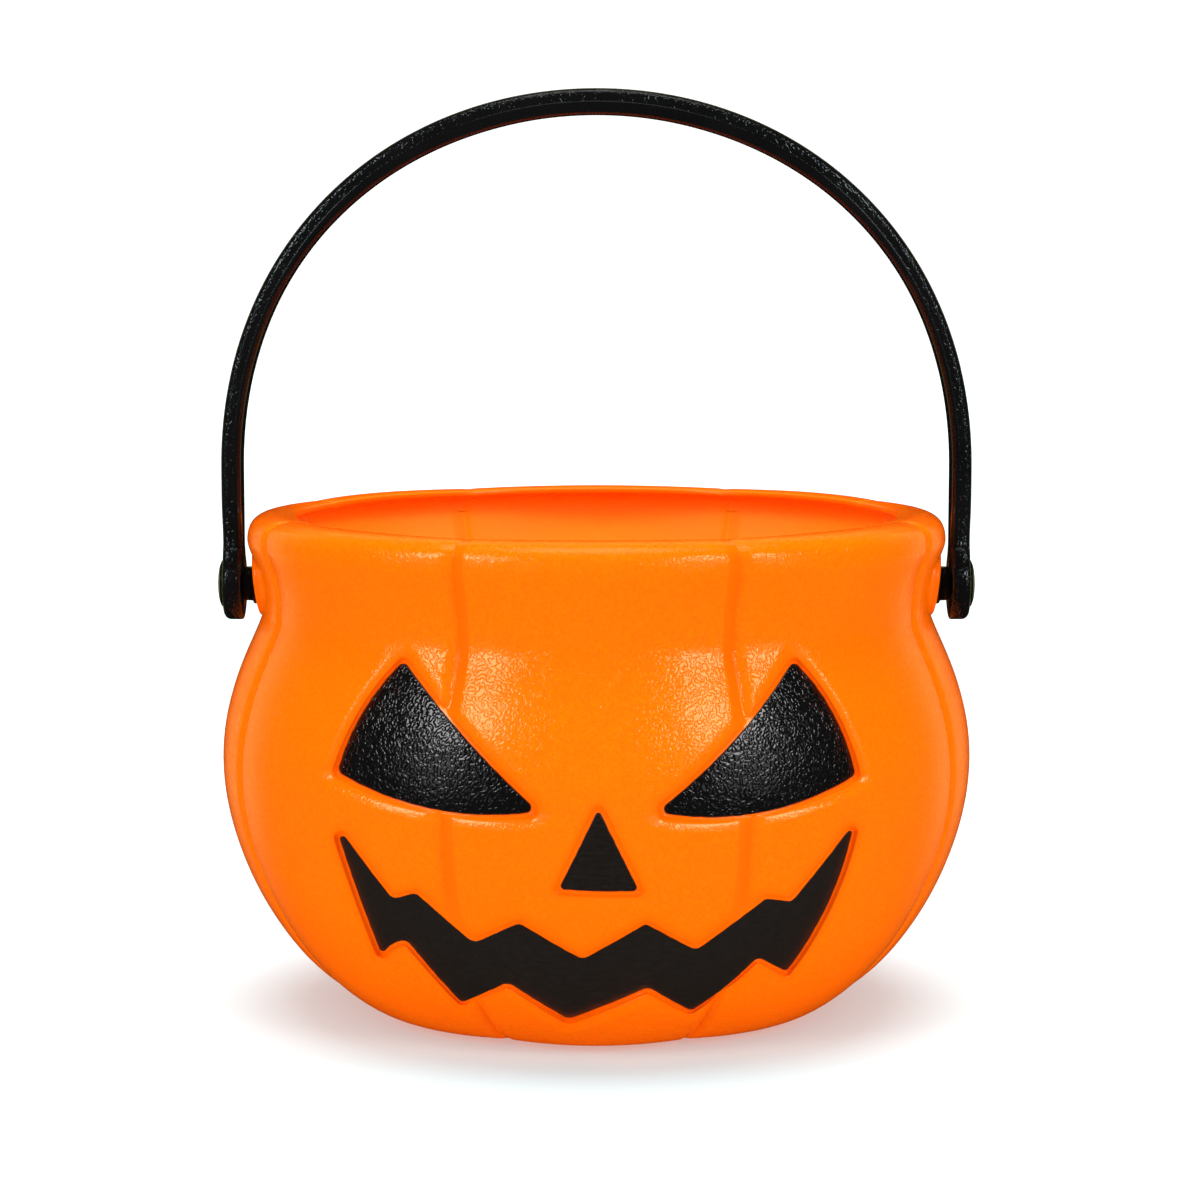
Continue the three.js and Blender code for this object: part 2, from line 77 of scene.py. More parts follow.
# Lobes and grooves, in degrees; a groove has a long flank towards the face and a short one away.
# A flute strength is a share of the lobe's shape: 1 on the belly, less at the foot and on the lip.
GROOVE_ANGLES = [22.75, 70, 115, 154]
LOBE_DROOP = 1.9
GROOVE_DEPTH = 1.3
LONG_FLANK = 2.1
SHORT_FLANK = 2.0
GROOVE_RUN_IN_Z = 7
FOOT_FLUTE = 0.3
NECK_FLUTE = 0.95
LIP_FLUTE = 1.1
CREST_FLUTE = 0.15
MOUTH_FLUTE = 0.15

# Face: corners are [x, z, corner radius, bow of the edge to the next corner]
LEFT_EYE = [
    [-68.0, 77.6, 1.6, 3.3],
    [-14.6, 71.4, 1.5, -0.8],
    [-50.2, 107.3, 1.6, 1.9],
]
RIGHT_EYE = [
    [15.2, 71.2, 1.5, 3.6],
    [68.2, 76.7, 1.6, 2.1],
    [51.6, 107.2, 1.6, -1.6],
]
NOSE = [
    [-9.6, 51.1, 1.0, 0.2],
    [11.0, 50.6, 1.0, 0],
    [0.6, 72.6, 0.8, 0],
]
MOUTH = [
    [-69.0, 64.5, 1.0, 0],
    [-57.2, 27.2, 0.9, -0.4],
    [-50.2, 33.4, 2.2, 0],
    [-35.9, 14.6, 1.3, 0],
    [-23.2, 22.9, 2.8, 0],
    [-7.4, 11.2, 2.4, 0],
    [13.6, 21.9, 2.4, 0],
    [25.2, 13.0, 1.5, 0.5],
    [42.6, 28.9, 2.0, 0],
    [50.6, 22.8, 1.0, 1.9],
    [68.0, 64.4, 0.8, 0],
    [51.2, 44.4, 2.0, 0],
    [44.2, 46.1, 1.6, 0],
    [26.0, 32.6, 2.6, 0],
    [12.8, 41.0, 1.2, 0],
    [-3.6, 30.7, 2.8, 0],
    [-20.0, 41.0, 2.0, 0],
    [-32.0, 34.3, 2.8, 0],
    [-46.9, 47.4, 1.8, 0],
    [-53.4, 44.9, 2.2, 0],
]

# Recesses of the face: depth of the floor, and how far outside the paint are the rim of the shallow
# flank, the brink of the steep wall and the edge of the floor
FEATURES = [
    ("left_eye_paint", LEFT_EYE, 3.0, 4.2, 1.5, 0.45),
    ("right_eye_paint", RIGHT_EYE, 3.0, 4.2, 1.5, 0.45),
    ("nose_paint", NOSE, 2.0, 3.8, 1.6, 0.72),
    ("mouth_paint", MOUTH, 2.8, 4.2, 1.5, 0.5),
]
BRINK_SHARE = 0.36
RIM_LAND = 0.4
RIM_CORNER_SHARE = 0.35
RIM_CORNER_REACH = 1.35
SMALLEST_RADIUS = 0.3
FACE_HALF_ANGLE = 51
FACE_LOW_Z = 2.4
FACE_TOP_Z = 116
PAINT_PROUD = 0.2
PAINT_SUNK = 0.1
PAINT_ROUND = 0.35
PAINT_WANDER = 0.12
PAINT_WANDER_SCALE = 0.8
PAINT_EDGE = [(0.55, 0.03), (0.9, 0.1), (1.0, 0.2), (1.0, PAINT_PROUD + PAINT_SUNK)]

# Pads, bushes and rivets of the pivots
PIVOT_Z = NECK_Z + 6.4
PAD_R = 9.3
PAD_PROUD = 2
PAD_TILT = 7.1
PAD_DRAFT = 0.8
PAD_EDGE = 0.6
PAD_ROOT = 8
SEAT_DEPTH = 0.7
SEAT_CLEARANCE = 0.4
GAP = 0.3
SHANK_R = 3
HEAD_R = 6.5
HEAD_EDGE = 0.8
HEAD_HEIGHT = 1.4
BARB_R = 4.2
BARB_LENGTH = 4.8
TIP_R = 2.2
SPLIT_WIDTH = 1.2
SPLIT_LENGTH = 7
FLANGE_R = 5.75
FLANGE_THICKNESS = 1.2
BARREL_R = 4.8

# Handle
LEG_CLEARANCE = 1.4
EYE_R = 10.2
EYE_THICKNESS = 5.4
EYE_EDGE = 1.9
BAR_DEPTH = 11.5
LEG_THICKNESS = 5.7
GRIP_THICKNESS = 7.3
HANDLE_RISE = 139
LEG_RISE = 32.8
SHOULDER_REACH = 62.8
CROWN_REACH = 59
BAR_EDGE = 2.3
PANEL_END = 3.6
PANEL_SINK = 0.3
BAR_TAPER = 0.15
BAR_INNER_EDGE = 1.1
GRIP_START = 0.25
GRIP_RUN = 0.6
EYE_LAP = 6.7
EYE_SWELL = 3.6
EYE_LEDGE = 1.0
EYE_GRAIN = 0.9

PAD_X = NECK_R + PAD_PROUD
SEAT_X = PAD_X - SEAT_DEPTH
FLANGE_X = SEAT_X + GAP + FLANGE_THICKNESS
EYE_X = LIP_R + LEG_CLEARANCE
HEAD_X = EYE_X + EYE_THICKNESS + GAP

# Camera and light, as the photograph has them
CAMERA_PLACE = (0.001, -0.950, 0.2223)
CAMERA_PITCH = 83.51
CAMERA_LENS = 100.98
CAMERA_SENSOR = 36
ROOM_LIGHT = 0.85
FRONT_GLINT = 0.005
SCREEN_GLINT = (0.6, 0.6, 0.24)
CEILING_GLINT = (2.0, 1.9, 1.8)
FLOOR_TONE = (0.43, 0.52, 0.53)
FLOOR_GLOW = 0.3
ROOM_SEEN = 1.2

# Name, turn from the front, height and width in degrees, power, and whether it lights and is mirrored
SOFTBOXES = [
    ("left_softbox", -50, 29, 19, 0.75, True, True),
    ("right_softbox", 47, 29, 19, 0.75, True, True),
    ("left_softbox_foot", -50, 9, 21, 0.1, False, True),
    ("right_softbox_foot", 47, 9, 21, 0.12, False, True),
    ("top_softbox", 180, 84, 50, 3.5, True, False),
    ("front_fill", 0, 12, 100, 0.9, True, False),
    ("floor_bounce", 0, -90, 140, 2.6, True, False),
]

# Finishes; heights of bumps are in metres
ORANGE_DEEP = (0.97, 0.136, 0.0)
ORANGE_BRIGHT = (0.985, 0.15, 0.0)
# Painted shade: a darker orange laid into the grain's valleys and over the smooth, ungrained skin
ORANGE_PAINTED_SHADE = (0.96, 0.118, 0.0)
# Painted glow: the inside, the pad's root and a little of the trimmed edge are painted paler, standing
# in for light through the wall
ORANGE_INSIDE_PAINTED_GLOW = (0.99, 0.36, 0.0)
PAINTED_GLOW_Z = 60
PAINTED_GLOW_RUN = 60
TRIMMED_EDGE_PAINTED_GLOW = 0.08
ORANGE_GRAIN_SCALE = 850
ORANGE_GRAIN_HEIGHT = 0.000065
ORANGE_ROUGHNESS = 0.12
INSIDE_ROUGHNESS = 0.45
FINE_BUMP_HEIGHT = 0.000006
WORM_BEND = 0.0012
PAINT_BLACK = [(0.3, (0.0022, 0.0022, 0.0022)), (0.8, (0.0036, 0.0034, 0.0034))]
PAINT_BROWN = [(0.3, (0.0085, 0.0058, 0.0042)), (0.8, (0.0135, 0.0095, 0.0072))]
PAINT_ROUGHNESS = 0.3
PAINT_STREAKS = 0.12
PAINT_GRAIN_GLOSS = -0.26
PAINT_FILM_HEIGHT = 0.00002
PAINT_GRAIN_HEIGHT = 0.0001
PAINT_GRAIN = {"left_eye_paint": 1.0, "right_eye_paint": 1.0, "nose_paint": 0.35, "mouth_paint": 0.1}
HANDLE_GRAIN_SCALE = 700
HANDLE_GRAIN_HEIGHT = 0.00014
PLASTIC_BLACK = [(0.3, (0.0024, 0.0023, 0.0023)), (0.7, (0.004, 0.0038, 0.0038))]
PLASTIC_ROUGHNESS = 0.075
PLASTIC_GRAIN_ROUGHNESS = 0.06

# Fineness of the curves
LOBE_STEP = 2.4
GROOVE_STEPS = [-2.0, -1.5, -1.05, -0.65, -0.35, -0.15, 0,
                0.15, 0.4, 0.8, 1.2, 1.6, 1.9, 2.15, 2.5, 3.0]
EDGE_STEP = 1.8
TURN_STEP = 14
LOWER_BELLY_STEPS = 36
UPPER_BELLY_STEPS = 24
NECK_STEPS = 14
CREST_STEPS = 18
LEG_STEPS = 8
ARCH_STEPS = 64
ARCH_SAMPLES = 400
ROUND_STEPS = 72
CUT_REACH = 1e-5
SEAM_REACH = 0.004
POLE_REACH = 0.001


def mix(a, b, share):
    return a + (b - a) * share


def clamp(value):
    return max(0.0, min(1.0, value))


def smooth(share):
    share = clamp(share)
    return share * share * (3 - 2 * share)


# Stations follow the wall's section: each has a point, the outward normal and the flute strength
def curve_stations(start, leave, arrive, end, steps, flute_from, flute_to):
    a, b, c, d = (Vector(p) for p in (start, leave, arrive, end))
    stations = []
    for i in range(1, steps + 1):
        t = i / steps
        s = 1 - t
        point = a * s ** 3 + b * 3 * s * s * t + c * 3 * s * t * t + d * t ** 3
        slope = (b - a) * s * s + (c - b) * 2 * s * t + (d - c) * t * t
        run_in = mix(FOOT_FLUTE, 1, math.sin(math.pi / 2 * clamp(point.y / GROOVE_RUN_IN_Z)))
        flute = run_in * mix(flute_from, flute_to, t)
        stations.append((point, Vector((slope.y, -slope.x)).normalized(), flute))
    return stations


def wall_stations():
    down = Vector((0, -1))
    bore = FOOT_R - FOOT_RING_WIDTH
    base = [(0, PUSH_UP), (14, PUSH_UP), (28, PUSH_UP), (bore - PUSH_UP_SLOPE - 1, PUSH_UP),
            (bore - PUSH_UP_SLOPE + 0.5, PUSH_UP - 0.35), (bore - 4, PUSH_UP / 2),
            (bore - 0.8, 0.35), (bore + 0.8, 0), (bore + 5, 0), (FOOT_R, 0)]
    stations = [(Vector(p), down, 0) for p in base[:-2]]
    stations += [(Vector(base[-2]), down, FOOT_FLUTE / 2), (Vector(base[-1]), down, FOOT_FLUTE)]
    stations += curve_stations(
        (FOOT_R, 0), (FOOT_R + FOOT_REACH, 0), (BELLY_R, BELLY_Z - LOWER_BELLY_REACH),
        (BELLY_R, BELLY_Z), LOWER_BELLY_STEPS, 1, 1)
    stations += curve_stations(
        (BELLY_R, BELLY_Z), (BELLY_R, BELLY_Z + UPPER_BELLY_REACH),
        (NECK_R, NECK_Z - BELOW_NECK_REACH), (NECK_R, NECK_Z), UPPER_BELLY_STEPS, 1, NECK_FLUTE)
    stations += curve_stations(
        (NECK_R, NECK_Z), (NECK_R, NECK_Z + ABOVE_NECK_REACH),
        (LIP_R, LIP_Z - BELOW_LIP_REACH), (LIP_R, LIP_Z), NECK_STEPS, NECK_FLUTE, LIP_FLUTE)
    stations += curve_stations(
        (LIP_R, LIP_Z), (LIP_R, LIP_Z + ABOVE_LIP_REACH),
        (LIP_CREST_R + CREST_REACH, LIP_TOP_Z), (LIP_CREST_R, LIP_TOP_Z),
        CREST_STEPS, LIP_FLUTE, CREST_FLUTE)
    return stations


WALL_ROWS = wall_stations()
FOOT_ROW = 9
FACE_ROWS = [i for i in range(FOOT_ROW + 1, len(WALL_ROWS))
             if FACE_LOW_Z <= WALL_ROWS[i][0].y <= FACE_TOP_Z]


def mouth_rows():
    """The trimmed edge of the lip, rounded above and below."""
    up = Vector((0, 1))
    top = LIP_TOP_Z - MOUTH_DROP
    bottom = top - WALL
    r = MOUTH_ROUNDING
    ease = r * MOUTH_ROUNDING_SHARE
    lead = MOUTH_R + MOUTH_LEAD
    cut = [(lead, top + MOUTH_LEAD_RISE), (MOUTH_R + r, top), (MOUTH_R + ease, top - ease),
           (MOUTH_R, top - r), (MOUTH_R, bottom + r), (MOUTH_R + ease, bottom + ease),
           (MOUTH_R + r, bottom), (lead, bottom + MOUTH_LEAD_RISE)]
    return [(Vector(p), up, MOUTH_FLUTE) for p in cut]


@lru_cache(maxsize=None)
def skin_table(inset):
    rows = [(p.y - n.y * inset, p.x - n.x * inset, n, f) for p, n, f in WALL_ROWS[FOOT_ROW:]]
    return [row[0] for row in rows], rows


def skin_at(z, inset=0):
    """Radius, normal and flute strength of the wall at a height, at a depth under the outer skin."""
    heights, rows = skin_table(inset)
    i = min(max(bisect_left(heights, z), 1), len(rows) - 1)
    low, high = rows[i - 1], rows[i]
    share = clamp((z - low[0]) / (high[0] - low[0]))
    normal = low[2].lerp(high[2], share).normalized()
    return mix(low[1], high[1], share), normal, mix(low[3], high[3], share)


def draw_depth(x, z, inset, depth):
    """How far a point of a skin goes back along +Y to be a given depth under it."""
    skin = skin_at(z, inset)[0]
    floor = skin_at(z, inset + depth)[0]
    return math.sqrt(max(skin ** 2 - x ** 2, 0)) - math.sqrt(max(floor ** 2 - x ** 2, 0))


# Lobes: the grooves all round, and the shape between two of them
GROOVES = sorted([360 - a for a in GROOVE_ANGLES] + GROOVE_ANGLES)


def groove_before(turn):
    below = [g for g in GROOVES if g <= turn]
    return below[-1] if below else GROOVES[-1] - 360


def groove_after(turn):
    above = [g for g in GROOVES if g > turn]
    return above[0] if above else GROOVES[0] + 360


def place_in_lobe(angle):
    """Degrees to the nearest groove, positive towards the face, and -1 to 1 across the lobe."""
    turn = angle % 360
    left, right = groove_before(turn), groove_after(turn)
    place = (2 * turn - left - right) / (right - left)
    if turn - left < right - turn:
        return (turn - left) * (1 if left % 360 > 180 else -1), place
    return (right - turn) * (1 if right % 360 < 180 else -1), place


def flute_depth(angle):
    off, place = place_in_lobe(angle)
    if off >= 0:
        groove = clamp(1 - off / LONG_FLANK) ** 1.2
    else:
        groove = clamp(1 + off / SHORT_FLANK) ** 2
    return LOBE_DROOP * place * place + GROOVE_DEPTH * groove


def lobe_grain(angle):
    """1 on the grained skin of a lobe, 0 on the smooth long flank of a groove."""
    off, _ = place_in_lobe(angle)
    return 0.0 if -0.1 < off < LONG_FLANK - 0.05 else 1.0


def column_angles():
    angles = []
    for i, groove in enumerate(GROOVES):
        angles += [groove + step * (1 if groove > 180 else -1) for step in GROOVE_STEPS]
        following = GROOVES[i + 1] if i + 1 < len(GROOVES) else GROOVES[0] + 360
        start = groove + max(step * (1 if groove > 180 else -1) for step in GROOVE_STEPS)
        end = following + min(step * (1 if following % 360 > 180 else -1) for step in GROOVE_STEPS)
        count = math.ceil((end - start) / LOBE_STEP)
        angles += [mix(start, end, n / count) for n in range(1, count)]
    return sorted(a % 360 for a in angles)


COLUMNS = column_angles()
SIGNED_COLUMNS = sorted(a - 360 if a > 180 else a for a in COLUMNS)
FACE_COLUMNS = [a for a in SIGNED_COLUMNS if abs(a) <= FACE_HALF_ANGLE]


def azimuth(co):
    return math.degrees(math.atan2(co.x, -co.y))


# Outline of a feature, in x and z as seen from the front
def turned(vector, angle):
    return Matrix.Rotation(angle, 2) @ vector


def rounded_outline(corners, grow):
    """Outline through rounded corners, grown by a margin; it has as many points for any margin."""
    places = [Vector(corner[:2]) for corner in corners]
    edges = []
    for i, start in enumerate(places):
        chord = places[(i + 1) % len(places)] - start
        bend = math.atan(4 * corners[i][3] / chord.length)
        heading = chord.normalized()
        edges.append((chord.length, turned(heading, -bend), turned(heading, bend),
                      Vector((heading.y, -heading.x)) * 2 * corners[i][3]))
    arcs = []
    for i, place in enumerate(places):
        arriving, leaving = edges[i - 1][2], edges[i][1]
        before = Vector((arriving.y, -arriving.x))
        after = Vector((leaving.y, -leaving.x))
        turn = math.atan2(arriving.x * leaving.y - arriving.y * leaving.x, arriving.dot(leaving))
        side = math.copysign(1, turn)
        reach = 1 / max(math.cos(turn / 2), 0.01)
        share = max(RIM_CORNER_SHARE, (reach - RIM_CORNER_REACH) / max(reach - 1, 0.01))
        radius = max(corners[i][2] + grow * (share if side > 0 else -1), SMALLEST_RADIUS)
        mitre = (before + after) / (1 + before.dot(after))
        centre = place + mitre * (grow - side * radius)
        steps = max(2, math.ceil(abs(math.degrees(turn)) / TURN_STEP))
        arcs.append([centre + turned(before, turn * s / steps) * side * radius
                     for s in range(steps + 1)])
    outline = []
    for i, arc in enumerate(arcs):
        length, _, _, bulge = edges[i]
        start, end = arc[-1], arcs[(i + 1) % len(arcs)][0]
        middle = (start + end) / 2 + bulge
        steps = math.ceil(length / EDGE_STEP)
        outline += arc
        for s in range(1, steps):
            t = s / steps
            outline.append(start * (1 - t) ** 2 + middle * 2 * t * (1 - t) + end * t * t)
    return outline


# A sheet is drawn flat first, with the angle round the bucket as x and the height as y
def new_sheet():
    bm = bmesh.new()
    # The "inside" layer holds each vertex's share of the painted glow
    for name in ("share", "depth", "grain", "feature", "inside"):
        bm.verts.layers.float.new(name)
    for name in ("outer_place", "inner_place"):
        bm.verts.layers.float_vector.new(name)
    bm.edges.layers.int.new("spare")
    return bm


def flat_place(place, inset):
    radius = skin_at(place.y, inset)[0]
    return Vector((math.degrees(math.asin(place.x / radius)), place.y, 0))


def front_place(flat, inset):
    return Vector((skin_at(flat.y, inset)[0] * math.sin(math.radians(flat.x)), flat.y))


def ring_of(bm, points):
    verts = [bm.verts.new(p) for p in points]
    return verts, [bm.edges.new(pair) for pair in zip(verts, verts[1:] + verts[:1])]


def cut_faces(bm, faces, axis, places):
    """Cut faces at every place along an axis, half of them at a time."""
    if not places or not faces:
        return faces
    middle = len(places) // 2
    across = Vector((1, 0, 0) if axis == 0 else (0, 1, 0))
    geom = faces + list({e for f in faces for e in f.edges}) + list({v for f in faces for v in f.verts})
    cut = bmesh.ops.bisect_plane(bm, geom=geom, dist=CUT_REACH, plane_co=across * places[middle],
                                 plane_no=across)
    faces = [g for g in cut["geom"] if isinstance(g, bmesh.types.BMFace)]
    low = [f for f in faces if f.calc_center_median()[axis] < places[middle]]
    high = [f for f in faces if f.calc_center_median()[axis] >= places[middle]]
    return cut_faces(bm, low, axis, places[:middle]) + cut_faces(bm, high, axis, places[middle + 1:])


def fill_with_lattice(bm, edges, columns, heights):
    """Fill the sheet between closed rings, cut along the columns and rows of the wall."""
    spare = bm.edges.layers.int["spare"]
    known = set(bm.edges)
    filled = bmesh.ops.triangle_fill(bm, edges=edges, use_beauty=True, normal=(0, 0, 1))["geom"]
    for edge in set(bm.edges) - known:
        edge[spare] = 1
    faces = [g for g in filled if isinstance(g, bmesh.types.BMFace)]
    cut_faces(bm, cut_faces(bm, faces, 0, columns), 1, heights)
    loose = [e for e in bm.edges if e[spare] and len(e.link_faces) == 2]
    bmesh.ops.dissolve_edges(bm, edges=loose, use_verts=False, use_face_split=False)
    needless = [v for v in bm.verts if len(v.link_edges) == 2 and not v.is_boundary]
    bmesh.ops.dissolve_verts(bm, verts=needless, use_face_split=False, use_boundary_tear=False)


def new_ring(bm, edges, shape):
    """Extrude an open ring of edges, and let shape(vert) place each new vertex."""
    made = bmesh.ops.extrude_edge_only(bm, edges=edges)["geom"]
    for vert in (g for g in made if isinstance(g, bmesh.types.BMVert)):
        shape(vert)
    return [g for g in made if isinstance(g, bmesh.types.BMEdge)]


def press_sheet(bm, inset):
    """Bend the flat sheet round the bucket, sink its flutes and draw the face back."""
    layers = bm.verts.layers.float
    share_of, depth_of = layers["share"], layers["depth"]
    for vert in bm.verts:
        turn, z = vert.co.x, vert.co.y
        radius, normal, flute = skin_at(z, inset)
        x = radius * math.sin(math.radians(turn))
        share = vert[share_of]
        draw = draw_depth(x, z, inset, vert[depth_of]) * share if share else 0
        vert.co = pressed(turn, radius, z, normal, flute * (1 - share), draw)


def pressed(turn, radius, z, normal, flute, draw=0):
    sink = flute * flute_depth(turn)
    out = radius - normal.x * sink
    angle = math.radians(turn)
    return Vector((out * math.sin(angle), draw - out * math.cos(angle), z - normal.y * sink))


# Bucket shell
def shoulder(rim, brink, floor):
    """Distance outside the paint and share of the depth, from a recess's rim down to its floor."""
    flank = interpolate_bezier((rim, 0), (mix(rim, brink, 0.26), 0.035),
                               (mix(rim, brink, 0.78), BRINK_SHARE - 0.14), (brink, BRINK_SHARE), 7)
    fall = interpolate_bezier((brink, BRINK_SHARE), (mix(brink, floor, 0.3), BRINK_SHARE + 0.1),
                              (mix(brink, floor, 0.6), 1.0), (floor, 1.0), 8)
    return [(p.x, p.y) for p in list(flank) + list(fall)[1:]]


def painted_inside_glow(z):
    """Painted glow: the inside is painted paler towards the mouth, standing in for light through the
    wall.
    """
    return smooth((z - PAINTED_GLOW_Z) / PAINTED_GLOW_RUN)


def face_sheet(inset):
    """The window of a skin that holds the face, with the four recesses pressed in."""
    bm = new_sheet()
    layers = bm.verts.layers
    share_of, depth_of = layers.float["share"], layers.float["depth"]
    grain_of, feature_of = layers.float["grain"], layers.float["feature"]
    outer_of, inner_of = layers.float_vector["outer_place"], layers.float_vector["inner_place"]
    heights = [WALL_ROWS[i][0].y - WALL_ROWS[i][1].y * inset for i in FACE_ROWS]
    low, high = heights[0], heights[-1]
    left, right = FACE_COLUMNS[0], FACE_COLUMNS[-1]
    _, edges = ring_of(bm, [(left, low, 0), (right, low, 0), (right, high, 0), (left, high, 0)])
    for number, (_, corners, depth, rim, brink, floor) in enumerate(FEATURES, 1):
        outer = rounded_outline(corners, rim + RIM_LAND)
        inner = rounded_outline(corners, floor + inset)
        verts, ring = ring_of(bm, [flat_place(p, inset) for p in outer])
        edges += ring
        for vert, target in zip(verts, inner):
            vert[feature_of] = number
            vert[depth_of] = depth
            vert[inner_of] = (target.x, target.y, 0)
    fill_with_lattice(bm, edges, FACE_COLUMNS[1:-1], heights[1:-1])
    for vert in bm.verts:
        vert[grain_of] = lobe_grain(vert.co.x)
    for number, (_, _, _, rim, brink, floor) in enumerate(FEATURES, 1):
        ring = [e for e in bm.edges
                if e.is_boundary and all(round(v[feature_of]) == number for v in e.verts)]
        for vert in {v for e in ring for v in e.verts}:
            place = front_place(vert.co, inset)
            vert[outer_of] = (place.x, place.y, 0)
        start, end = rim + RIM_LAND, floor + inset
        for margin, share in shoulder(rim, brink + inset, end):
            along = (start - margin) / (start - end)

            def place(vert, along=along, share=share):
                here = vert[outer_of].lerp(vert[inner_of], along)
                vert.co = flat_place(here.xy, inset)
                vert[share_of] = share
                vert[grain_of] = lobe_grain(vert.co.x) * (1 - smooth(share / BRINK_SHARE))

            ring = new_ring(bm, ring, place)
        fill_with_lattice(bm, ring, FACE_COLUMNS[1:-1:3], heights[1:-1:2])
    press_sheet(bm, inset)
    # Painted glow: the inner skin's face window gets its share of the paler inside colour
    if inset:
        for vert in bm.verts:
            vert[layers.float["inside"]] = painted_inside_glow(vert.co.z)
    return bm


def spun_shell():
    """Both skins of the wall, spun round the bucket, with open windows for the face."""
    bm = bmesh.new()
    row_of = bm.verts.layers.int.new("row")
    grain_of = bm.verts.layers.float.new("grain")
    painted_glow_of = bm.verts.layers.float.new("inside")
    outer = [(p, n, f, 0) for p, n, f in WALL_ROWS]
    inner = [(p, n, f, WALL) for p, n, f in reversed(WALL_ROWS)]
    rows = outer + [(p, n, f, 0) for p, n, f in mouth_rows()] + inner
    section = [bm.verts.new((0, n.x * inset - p.x, p.y - n.y * inset)) for p, n, _, inset in rows]
    for i, vert in enumerate(section):
        vert[row_of] = i
    edges = [bm.edges.new(pair) for pair in zip(section, section[1:])]
    bmesh.ops.spin(bm, geom=section + edges, cent=(0, 0, 0), axis=(0, 0, 1), dvec=(0, 0, 0),
                   angle=math.tau, steps=len(COLUMNS), use_merge=True, use_normal_flip=False,
                   use_duplicate=False)
    step = 360 / len(COLUMNS)
    first, last = FACE_COLUMNS[0] - 0.01, FACE_COLUMNS[-1] + 0.01
    windows = (range(FACE_ROWS[0], FACE_ROWS[-1] + 1),
               range(len(rows) - 1 - FACE_ROWS[-1], len(rows) - FACE_ROWS[0]))
    window_of = {}
    for vert in bm.verts:
        number = vert[row_of]
        point, normal, flute, inset = rows[number]
        turn = COLUMNS[round(azimuth(vert.co) % 360 / step) % len(COLUMNS)]
        radius, z = point.x - normal.x * inset, point.y - normal.y * inset
        signed = turn - 360 if turn > 180 else turn
        if first <= signed <= last:
            window_of[vert] = next((i for i, window in enumerate(windows) if number in window), None)
        vert[grain_of] = lobe_grain(turn) * lip_grain(number)
        # Painted glow: the inner skin, and a little of the trimmed edge, get a share of the paler
        # inside colour
        share = 1.0 if inset else TRIMMED_EDGE_PAINTED_GLOW if number >= len(WALL_ROWS) else 0.0
        vert[painted_glow_of] = share * painted_inside_glow(z)
        vert.co = pressed(turn, radius, z, normal, flute)
    gone = [f for f in bm.faces if len({window_of.get(v) for v in f.verts}) == 1
            and window_of.get(f.verts[0]) is not None]
    bmesh.ops.delete(bm, geom=gone, context="FACES")
    return bm


def lip_grain(number):
    """The grain fades out over the roll of the lip, and the inside is smooth."""
    crest = len(WALL_ROWS)
    return smooth((crest + 2 - number) / 4) if number < crest else 0.0


def joined(parts):
    whole = bmesh.new()
    for bm in parts:
        mesh = bpy.data.meshes.new("part")
        bm.to_mesh(mesh)
        bm.free()
        whole.from_mesh(mesh)
        bpy.data.meshes.remove(mesh)
    return whole


def bucket_shell(finish):
    bm = joined([spun_shell(), face_sheet(0), face_sheet(WALL)])
    bmesh.ops.remove_doubles(bm, verts=bm.verts, dist=SEAM_REACH)
    bmesh.ops.recalc_face_normals(bm, faces=bm.faces)
    return finished_piece("bucket_shell", bm, finish, "bucket_body", ["bucket"])


def finished_piece(name, bm, finish, body, replaced=()):
    bmesh.ops.scale(bm, vec=(MM, MM, MM), verts=bm.verts)
    mesh = bpy.data.meshes.new(name)
    bm.to_mesh(mesh)
    bm.free()
    for polygon in mesh.polygons:
        polygon.use_smooth = True
    mesh.materials.append(finish)
    piece = bpy.data.objects.new(name, mesh)
    bpy.context.scene.collection.objects.link(piece)
    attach(piece, body)
    if replaced:
        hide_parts(*replaced)
    return piece


# Paint coats on the floors of the face
def paint_coat(name, corners, depth, grain, finish):
    bm = new_sheet()
    layers = bm.verts.layers.float
    outline = [ragged(p) for p in rounded_outline(corners, -PAINT_ROUND)]
    verts, ring = ring_of(bm, [flat_place(p, 0) for p in outline])
    side = [ragged(p) for p in rounded_outline(corners, 0)]
    heights = [WALL_ROWS[i][0].y for i in FACE_ROWS]
    place_of = bm.verts.layers.float_vector["inner_place"]
    home_of = bm.verts.layers.float_vector["outer_place"]
    for vert, target in zip(verts, side):
        vert[place_of] = (target.x, target.y, 0)
    fill_with_lattice(bm, ring, FACE_COLUMNS[1:-1], heights[1:-1])
    for vert in bm.verts:
        vert[layers["share"]] = 1
        vert[layers["depth"]] = depth - PAINT_PROUD
        vert[layers["grain"]] = grain
        vert[home_of] = (*front_place(vert.co, 0), 0)
    ring = [e for e in bm.edges if e.is_boundary]
    for along, sunk in PAINT_EDGE:

        def place(vert, along=along, sunk=sunk):
            here = vert[home_of].lerp(vert[place_of], along)
            vert.co = flat_place(here.xy, 0)
            vert[layers["depth"]] = depth - PAINT_PROUD + sunk
            vert[layers["grain"]] = 0

        ring = new_ring(bm, ring, place)
    fill_with_lattice(bm, ring, FACE_COLUMNS[1:-1:3], heights[1:-1:2])
    press_sheet(bm, 0)
    bmesh.ops.recalc_face_normals(bm, faces=bm.faces)
    return finished_piece(name + "_coat", bm, finish, "bucket_body", [name])


def ragged(place):
    """The brushed edge of the paint wanders a little."""
    spot = Vector((place.x, place.y, 0)) * PAINT_WANDER_SCALE
    elsewhere = spot + Vector((40, 7, 3))
    return place + Vector((noise.noise(spot), noise.noise(elsewhere))) * PAINT_WANDER


